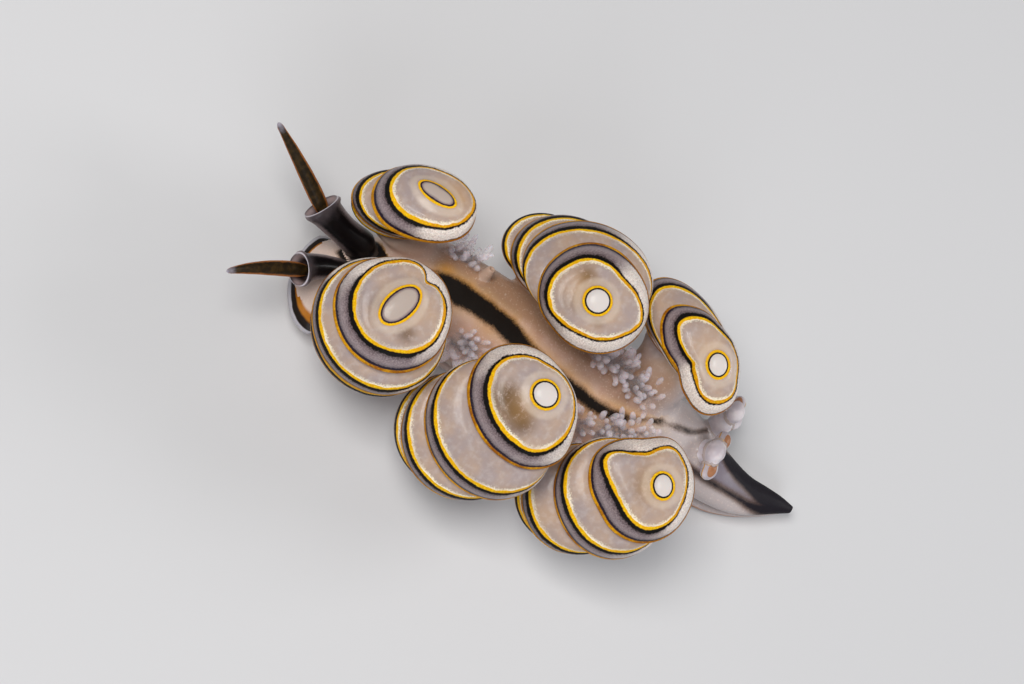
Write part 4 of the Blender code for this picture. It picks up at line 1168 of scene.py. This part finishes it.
def ringed_paint():
    """The group that paints a ceras. Its pigment says where a line hides the wet flesh."""
    b, c = paint_group("ringed ceras"), RINGED
    tier, band, field = (b.number(key) for key in ("tier", "band", "field"))
    part = b.calc("FRACT", tier)
    lower = part > 0.5
    width = lower * (band - field) + field
    swing = b.grain(2.6, 2.0).spread(0.045)
    fray = b.grain(15.0, 2.0, 0.6).spread(0.07)
    from_gold = (part - 0.5) * (width * 2.0)
    gold_at = from_gold + swing
    frayed = gold_at + fray
    from_lip = (part - lower) * (width * 2.0)
    lip_at = from_lip + (swing * 0.4 + fray * 0.25)
    off_cap = tier > 0.55
    turned = b.number("outward") + b.grain(0.7).spread(0.6)
    dark = turned.rise(-0.25, 0.65)

    # Field: clear grey and tan, cloudy, a pale seam under the lip above it
    coat = Coat(b, b.blend(b.grain(0.9, 3.0).rise(0.3, 0.72), c.field_tan, c.field_grey))
    coat.lay(c.milk, b.grain(5.0, 3.0).rise(0.42, 0.75), 0.25)
    seam = off_cap * (1.0 - lower)
    coat.lay(c.seam_shade, seam * from_lip.rise(0.6, 0.1), 0.5)
    coat.lay(c.seam_pale, seam * lip_at.stroke(0.06, 0.17, 0.03), 0.75)
    ragged = b.grain(4.5, 4.0, 0.7).rise(0.28, 0.52)
    for centre, radius, strength in GUTS:
        coat.lay(c.gut_brown, b.near(centre, radius) * ragged, strength)
    rich = b.grain(0.8).rise(0.35, 0.6)
    # Painted highlight: white glints along the inner edge of the golden line
    dust = (gold_at + b.grain(18.0, 1.0).spread(0.12)).rise(-0.2, -0.08) * (1.0 - lower)
    coat.lay(c.dust, dust, rich * 0.55 + 0.3)
    for centre, radius, strength in GLOWS:
        coat.lay(c.gut_amber, b.near(centre, radius), strength)

    # Band: a dark speckled grey outward, white inward
    inside = lower * gold_at.rise(0.0, 0.06)
    speck = b.grain(20.0, 2.0, 0.7).rise(0.36, 0.64)
    sheen = (gold_at / band).stroke(0.42, 0.8, 0.22)
    grey = b.blend(sheen * 0.5, b.blend(speck, c.band_slate, c.band_stone), c.band_sheen)
    pale = b.blend(speck, c.band_cream, c.band_white)
    coat.lay(b.blend(dark, pale, grey), inside)
    coat.lay(c.band_shade, inside * frayed.rise(dark * 0.22 + 0.16, 0.08), dark * 0.55 + 0.35)
    coat.lay(c.plum, inside * lip_at.rise(-0.42, -0.18), dark * 0.55)

    # Lines: black, plum, orange lip and beaded gold
    black = lower * frayed.stroke(0.03, dark * 0.085 + 0.135, 0.03)
    coat.lay(c.ink, black)
    lip_from = dark * -0.045 - 0.085
    plum_from = lip_from - (dark * 0.065 + 0.045)
    plum = (fray * 0.6 + lip_at).stroke(plum_from, lip_from + 0.015, 0.024)
    coat.lay(b.blend(dark, c.lip_edge, c.plum), off_cap * plum)
    lip = off_cap * lip_at.stroke(lip_from, 0.02, 0.014)
    bead = b.cells(11.0).rise(0.6, 0.15)
    bright = b.grain(1.4).rise(0.35, 0.65) * 0.55 + bead * 0.3
    coat.lay(b.blend(bright, c.rust, b.blend(dark, c.lip_dark, c.lip_bright)), lip)
    gold_half = b.grain(1.3).rise(0.35, 0.65) * 0.025 + 0.05
    gold = (fray * 0.35 + gold_at).stroke(gold_half * -1.0, gold_half, 0.016)
    coat.lay(b.blend(bead * 0.6 + dark * 0.4, c.amber, c.gold), gold)

    # Knob: pale spot, dark ring and golden ring
    plain = b.number("plain_spot")
    small = plain.rise(1.2, 1.5)
    greyish = plain.rise(0.0, 0.9) - small
    knob = fray * 0.25 + b.number("spot") + greyish * 0.09
    coat.lay(c.halo, knob.stroke(0.16, 0.42, 0.08) - small, 0.4)
    ring_gold = knob.stroke(small * 0.15 + 0.04, small * 0.115 + 0.135, 0.014)
    milky = b.number("part") > 19.5
    coat.lay(b.blend(b.grain(1.6, 3.0).rise(0.35, 0.65), c.clouded, c.clear), milky, 0.92)
    ring_colour = b.blend(bead * 0.5 + 0.4, c.amber, c.gold)
    coat.lay(b.blend(small, ring_colour, c.small_ring), ring_gold)
    ring_ink = knob.stroke(greyish * -0.06 - 0.03, 0.048, 0.014)
    coat.lay(b.blend(greyish, c.ink, c.ring_shade), ring_ink, 1.0 - 0.85 * small)
    dull = b.blend(knob.rise(-0.12, -0.02), c.spot_rim, c.spot_heart)
    brown = b.blend(b.grain(6.0), c.small_spot_dark, c.small_spot_pale)
    spot = b.blend(small, b.blend(greyish, c.pearl, dull), brown)
    coat.lay(spot, knob.rise(0.0, -0.03))

    lines = gold.most(ring_gold).most(lip * 0.7)
    height = b.grain(9.0, 3.0) * 0.25 + lines * (bead * 0.6 + 0.4)
    return give_out(b, coat.colour, height, lines.most(lip).most(black).most(ring_ink))


ringed = ringed_paint()
print("ringed paint:", len(ringed.nodes), "nodes")

# %% [markdown]
# The body is clear peach flesh. Fine white specks sit in it, the flanks go milky, and a
# soft black line runs down the back with an orange glow on both sides. On the tail the line
# opens to two dark edges round a lilac field and closes to a black tip.

# %% Paint of the body, collars and veil
FLESH = palette(
    peach=(196, 158, 136), rose=(206, 174, 158), ruddy=(186, 142, 120), tawny=(166, 130, 102),
    dusky=(146, 116, 96), flank=(200, 184, 178), rear=(178, 168, 168), neck_pale=(208, 190, 184),
    head_pale=(210, 190, 178), fleck=(236, 218, 200), gut_shadow=(120, 88, 66),
    honey=(214, 176, 122), orange=(206, 146, 58), tail_lilac=(140, 130, 144),
    tail_dark=(84, 76, 94), singed=(84, 54, 26), tail_ink=(20, 17, 26),
    sole_orange=(170, 104, 44), soot=(12, 9, 11), smoke=(124, 110, 110), glass=(176, 166, 172),
    flare=(98, 88, 92), rim_white=(198, 192, 200), cup_pale=(150, 132, 132),
    cup_dark=(44, 30, 28), veil_orange=(168, 104, 22), veil_black=(30, 22, 18),
    veil_clear=(176, 172, 178), tube_pale=(206, 186, 176), ink=(9, 6, 5))
NECK, GUT_BEND = (-1.05, -5.3, 3.1), (-0.95, 3.3, 3.6)      # places on the back
STRIPE_FRONT, COLLAR_ROOT = (-0.55, -4.35, 3.65), (0.05, -6.84, 2.52)


def flesh_paint():
    """The group that paints trunk, foot, tail, collars and veil."""
    b, c = paint_group("slug flesh"), FLESH
    x, y, z = b.axes()
    cloud, fine = b.grain(0.8, 4.0), b.grain(13.0, 3.0, 0.6)
    shift = cloud.spread(0.8)
    coat = Coat(b, b.blend(cloud.rise(0.34, 0.66), c.peach, c.rose))
    coat.lay(c.ruddy, b.grain(2.4, 3.0).rise(0.45, 0.7), 0.35)
    waver = x + cloud.spread(0.3)
    # Painted shade: the right side of the back is darker, and more of it towards the rear
    coat.lay(c.tawny, waver.rise(-0.3, -0.75) * y.rise(-5.6, -4.6), 0.85)
    coat.lay(c.dusky, waver.rise(0.5, -0.2) * y.rise(0.4, 1.6), 0.6)
    coat.lay(c.flank, (z + shift).rise(2.9, 1.2), 0.8)
    coat.lay(c.rear, (y + shift).rise(3.9, 5.2), 0.88)
    coat.lay(c.neck_pale, b.near(NECK, 1.0), 0.9)
    coat.lay(c.head_pale, (y + shift).rise(-5.4, -6.8), 0.6)
    coat.lay(c.fleck, fine.rise(0.56, 0.7), 0.35)
    gut = b.near(GUT_BEND, 1.3) * b.grain(2.2, 4.0).rise(0.3, 0.62)
    coat.lay(c.gut_shadow, gut, 0.6)

    # Dark lines of back and tail. Their number is 1 on the edge, so 1 less it is the distance
    away = 1.0 - b.number("lines")
    on_back = z.rise(1.9, 2.6) * y.rise(5.8, 4.6)
    wide = away + b.grain(1.6, 3.0).spread(0.16)
    coat.lay(c.honey, on_back * wide.rise(0.5, 0.15), 0.3)
    glow = wide.rise(0.26, 0.02) * (x.rise(0.35, -0.1) * 0.55 + 0.16) * y.rise(4.6, 3.4)
    front = b.near(STRIPE_FRONT, 0.55) * 0.9
    coat.lay(c.orange, on_back * glow.most(front), 0.85)
    across = (b.number("tail") + fine.spread(0.1)).rise(0.02, 0.16)
    coat.lay(b.blend(y.rise(7.2, 9.2), c.tail_lilac, c.tail_dark), across, 0.8)
    calm = 1.0 - y.rise(5.2, 6.5) * 0.6
    fur = b.grain(16.0, 4.0, 0.75).spread(0.12) + b.grain(2.5, 2.0).spread(0.07)
    furry = fur * calm + away
    coat.lay(c.singed, furry.rise(0.19, 0.0), 0.7)
    soft = y.rise(5.0, 6.5) * 0.03 + 0.065
    streak = furry.rise(soft, soft * -1.0)
    coat.lay(b.blend(y.rise(5.5, 6.5), c.ink, c.tail_ink), streak, 0.98)

    # Orange margin of the foot, fading forward
    lift = z + b.grain(1.5).spread(0.06)
    coat.lay(c.sole_orange, lift.stroke(0.16, 0.36, 0.07) * y.rise(4.0, 8.0), 0.85)

    # Collars: dark stem with clear sides, pale flare, white rim, clear cup
    level = b.number("collar")
    side = abs(b.number("collar_side")) + fine.spread(0.1)
    clear = side.rise(0.62, 0.94) * level.rise(0.15, 0.5)
    stem = Coat(b, b.blend(clear, c.soot, c.smoke))
    stem.lay(c.glass, side.rise(0.96, 1.02) * level.rise(0.15, 0.5))
    flare = (level + b.grain(4.0, 3.0).spread(0.1)).rise(0.76, 1.0)
    stem.lay(c.flare, flare, 0.5)
    stem.lay(c.rim_white, level.stroke(1.0, 1.03, 0.012))
    cup = b.blend(level.rise(1.1, 1.34), c.cup_pale, c.cup_dark)
    stem.lay(cup, level.rise(1.04, 1.09))
    coat.lay(stem.colour, level.rise(0.004, 0.02))
    root = b.near(COLLAR_ROOT, 0.78) + fine.spread(0.06)
    coat.lay(c.soot, root.rise(0.08, 0.26), 0.95)

    # Veil: clear edge, black band, orange band, tan inside
    far = b.number("veil") + b.grain(2.0, 2.0).spread(0.025)
    flap = Coat(b, b.blend(far.rise(0.62, 0.72), coat.colour, c.veil_orange))
    flap.lay(c.veil_black, far.rise(0.8, 0.86))
    flap.lay(c.veil_clear, far.rise(0.95, 0.975))
    part = b.number("part")
    coat.lay(c.tube_pale, part.rise(39.5, 39.9), 0.4)
    on_veil = part.stroke(2.9, 3.1, 0.08) * b.number("veil").rise(0.45, 0.6)
    coat.lay(flap.colour, on_veil)

    return give_out(b, coat.colour, fine * 0.22 + b.grain(1.8, 3.0), streak)


flesh = flesh_paint()
print("flesh paint:", len(flesh.nodes), "nodes")

# %% [markdown]
# The materials themselves are plain: a Principled shader with a little light let in under
# the surface, as in wet flesh, and a thin gloss. The skin's colour is the flesh, and on the
# cerata the rings.

# %% Materials
GILL = palette(
    root=(214, 190, 178), tip=(232, 222, 228), fleck=(240, 236, 244), glow=(226, 212, 222))
CLUB = palette(
    dark=(32, 22, 8), brown=(56, 40, 16), side=(158, 92, 30), tip=(160, 154, 166))
FLESH_LOOK = {"Subsurface Radius": (1.0, 0.62, 0.45), "Specular IOR Level": 0.14,
              "Coat Weight": 0.10, "Coat Roughness": 0.12}


def wet_flesh(name, roughness, subsurface, reach_mm, **more):
    """A Principled material that lets light in by reach_mm. Returns it, its bench and shader."""
    mat = bpy.data.materials.new(name)
    mat.use_nodes = True
    shader = mat.node_tree.nodes["Principled BSDF"]
    for key, value in {**FLESH_LOOK, "Roughness": roughness, "Subsurface Weight": subsurface,
                       "Subsurface Scale": reach_mm * MM, **more}.items():
        shader.inputs[key].default_value = value
    return mat, Bench(mat.node_tree), shader


def relief(bench, shader, height, depth_mm):
    """Feed a height between 0 and 1 to the shader's normal, as deep as depth_mm."""
    bump = bench.node("ShaderNodeBump")
    bump.inputs["Distance"].default_value = depth_mm * MM
    bench.feed(bump.inputs["Height"], height)
    bench.feed(shader.inputs["Normal"], bump.outputs["Normal"])


def skin_material():
    """Flesh everywhere, and rings where the paint number of the cerata is one."""
    mat, b, shader = wet_flesh("slug skin", 0.36, 0.2, 0.1)
    body, rings = (b.node("ShaderNodeGroup", node_tree=tree) for tree in (flesh, ringed))
    on_ceras = b.number("ceras").rise(0.15, 0.85)
    colour = b.blend(on_ceras, body.outputs["Color"], rings.outputs["Color"])
    b.feed(shader.inputs["Base Color"], colour)
    height, pigment = ((1.0 - on_ceras) * body.outputs[key] + on_ceras * rings.outputs[key]
                       for key in ("Height", "Pigment"))
    relief(b, shader, height, 0.025)
    b.feed(shader.inputs["Roughness"], pigment * 0.24 + 0.38)
    b.feed(shader.inputs["Coat Weight"], 0.14 - 0.12 * pigment)
    return mat


def gill_material():
    """Clear lilac fingers, milkier and whiter to the tip."""
    # Painted light: a faint lilac glow (emission) brightens the fingers where they shade each
    # other
    mat, b, shader = wet_flesh("clear gill", 0.28, 0.4, 0.3, **{
        "Emission Color": GILL.glow, "Emission Strength": 0.12})
    along = b.number("along")
    colour = b.blend(along.rise(0.1, 0.8), GILL.root, GILL.tip)
    milk = along.rise(0.0, 1.0) + b.grain(5.0, 3.0).spread(0.5)
    b.feed(shader.inputs["Alpha"], milk.rise(0.2, 1.1) * 0.32 + 0.08)
    colour = b.blend(b.grain(9.0, 2.0).rise(0.45, 0.65) * 0.5, colour, GILL.fleck)
    b.feed(shader.inputs["Base Color"], colour)
    relief(b, shader, b.grain(7.0, 3.0), 0.02)
    return mat


def club_material():
    """Dark brown club with orange sides and a pale blunt tip."""
    mat, b, shader = wet_flesh("rhinophore club", 0.5, 0.2, 0.12, **{"Coat Weight": 0.05})
    along = b.number("along")
    side = abs(b.number("edge")) + b.grain(6.0, 3.0).spread(0.12)
    coat = Coat(b, b.blend(b.grain(5.0, 4.0).rise(0.4, 0.7), CLUB.dark, CLUB.brown))
    coat.lay(CLUB.side, side.rise(0.7, 0.92))
    coat.lay(CLUB.tip, (along + b.grain(4.0).spread(0.05)).rise(0.8, 0.92))
    b.feed(shader.inputs["Base Color"], coat.colour)
    relief(b, shader, b.grain(8.0, 3.0), 0.02)
    return mat


looks = skin_material(), gill_material(), club_material()
skin.data.materials.clear()
for pieces, look in zip(([skin], gills.values(), clubs.values()), looks):
    for piece in pieces:
        piece.data.materials.append(look)
print("materials:", [look.name for look in looks])

# %% [markdown]
# The solids that the pieces stand for are hidden, and each piece is tied to the body it rides
# on. The slug is a still model with one body, so every piece rides on the root.

# %% Tie the pieces to the frame
skin_nodes = ["foot", "head", "body", "tail", *CERATA, *SMALL_CERATA,
              "rhinophore_sheath_left", "rhinophore_sheath_right", "anal_papilla"]
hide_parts(*skin_nodes)
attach(skin, "root")
for name, piece in gills.items():
    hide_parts(name)
    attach(piece, "root")
for side, piece in clubs.items():
    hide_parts("rhinophore_" + side)
    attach(piece, "root")
print("solids dressed:", len(skin_nodes) + len(gills) + len(clubs))

# %% [markdown]
# The stage is a pale tabletop and three soft lamps. The slug is two centimetres long, so
# lamps of a few centimetres give the soft shading that a studio tent gives a large object.

# %% Floor and lamps
TABLE_HALF, TABLE_LEVEL = 0.30, -0.00002      # metres


def make_floor():
    """A square sheet of 0.6 m, just under the sole."""
    mesh = bpy.data.meshes.new("table_top")
    corners = [(-1, -1), (1, -1), (1, 1), (-1, 1)]
    mesh.from_pydata([(x * TABLE_HALF, y * TABLE_HALF, TABLE_LEVEL) for x, y in corners],
                     [], [(0, 1, 2, 3)])
    obj = add_object("table_top", mesh)
    mat = bpy.data.materials.new("pale table")
    mat.use_nodes = True
    shader = mat.node_tree.nodes["Principled BSDF"]
    shader.inputs["Base Color"].default_value = tone(206, 206, 208)
    shader.inputs["Roughness"].default_value = 0.7
    mesh.materials.append(mat)
    return obj


def make_lamp(name, place, aim, size, power, colour=(1.0, 1.0, 1.0)):
    """Square area lamp of a size in metres, turned to its aim."""
    lamp = bpy.data.lights.new(name, "AREA")
    lamp.size, lamp.energy, lamp.color = size, power, colour
    obj = add_object(name, lamp)
    obj.location = place
    obj.rotation_euler = (Vector(aim) - Vector(place)).to_track_quat("-Z", "Y").to_euler()


floor = make_floor()
target = (0.0, 0.0, 0.004)
make_lamp("key", (0.02, -0.07, 0.15), target, 0.06, 0.20, (1.0, 0.98, 0.95))
make_lamp("fill", (0.12, 0.04, 0.09), target, 0.10, 0.075, (0.95, 0.97, 1.0))
make_lamp("back", (-0.06, 0.12, 0.08), target, 0.06, 0.075)
world = bpy.data.worlds.new("room")
bpy.context.scene.world = world
world.use_nodes = True
sky = world.node_tree.nodes["Background"].inputs
sky["Color"].default_value, sky["Strength"].default_value = (0.80, 0.82, 0.86, 1.0), 0.20
bpy.context.scene.view_settings.view_transform = "Standard"

# %% [markdown]
# The camera looks down on the slug's left side, two thirds of the way up, and is rolled so
# that the head lies at the upper left. It stands 95 mm off, where one millimetre of the
# slug at half its height covers 30 pixels of the frame.

# %% Camera
ELEVATION, AZIMUTH, ROLL = (np.radians(a) for a in (66.0, 47.4, 72.6))
DISTANCE, SHARP_LEVEL, PX_PER_MM = 95.0, 3.5, 30.0     # mm, mm along the view, pixels
FRAME_WIDE, FRAME_HIGH, SENSOR = 1024, 684, 36.0        # pixels, pixels, mm
ORIGIN_PX = (503.0, 367.0)                              # where the origin falls in the frame


def make_camera():
    """Camera turned by elevation, azimuth and roll, and shifted to put the origin in place."""
    level = np.array([np.cos(AZIMUTH), np.sin(AZIMUTH), 0.0])
    back = np.cos(ELEVATION) * np.cross(level, (0, 0, 1)) + (0, 0, np.sin(ELEVATION))
    above = np.cross(back, level)
    right = level * np.cos(ROLL) + above * np.sin(ROLL)
    up = above * np.cos(ROLL) - level * np.sin(ROLL)
    aside = (FRAME_WIDE / 2 - ORIGIN_PX[0]) / PX_PER_MM
    lift = (ORIGIN_PX[1] - FRAME_HIGH / 2) / PX_PER_MM
    place = (back * (DISTANCE + SHARP_LEVEL) + right * aside + up * lift) * MM
    data = bpy.data.cameras.new("camera")
    data.lens, data.sensor_width = PX_PER_MM * DISTANCE * SENSOR / FRAME_WIDE, SENSOR
    data.clip_start, data.clip_end = 0.005, 5.0
    obj = add_object("camera", data)
    turned = np.eye(4)
    turned[:3] = np.stack([right, up, back, place], axis=1)
    obj.matrix_world = Matrix(turned.tolist())
    bpy.context.scene.camera = obj
    return obj


camera = make_camera()
print("focal length:", round(camera.data.lens, 1), "mm")

# %% [markdown]
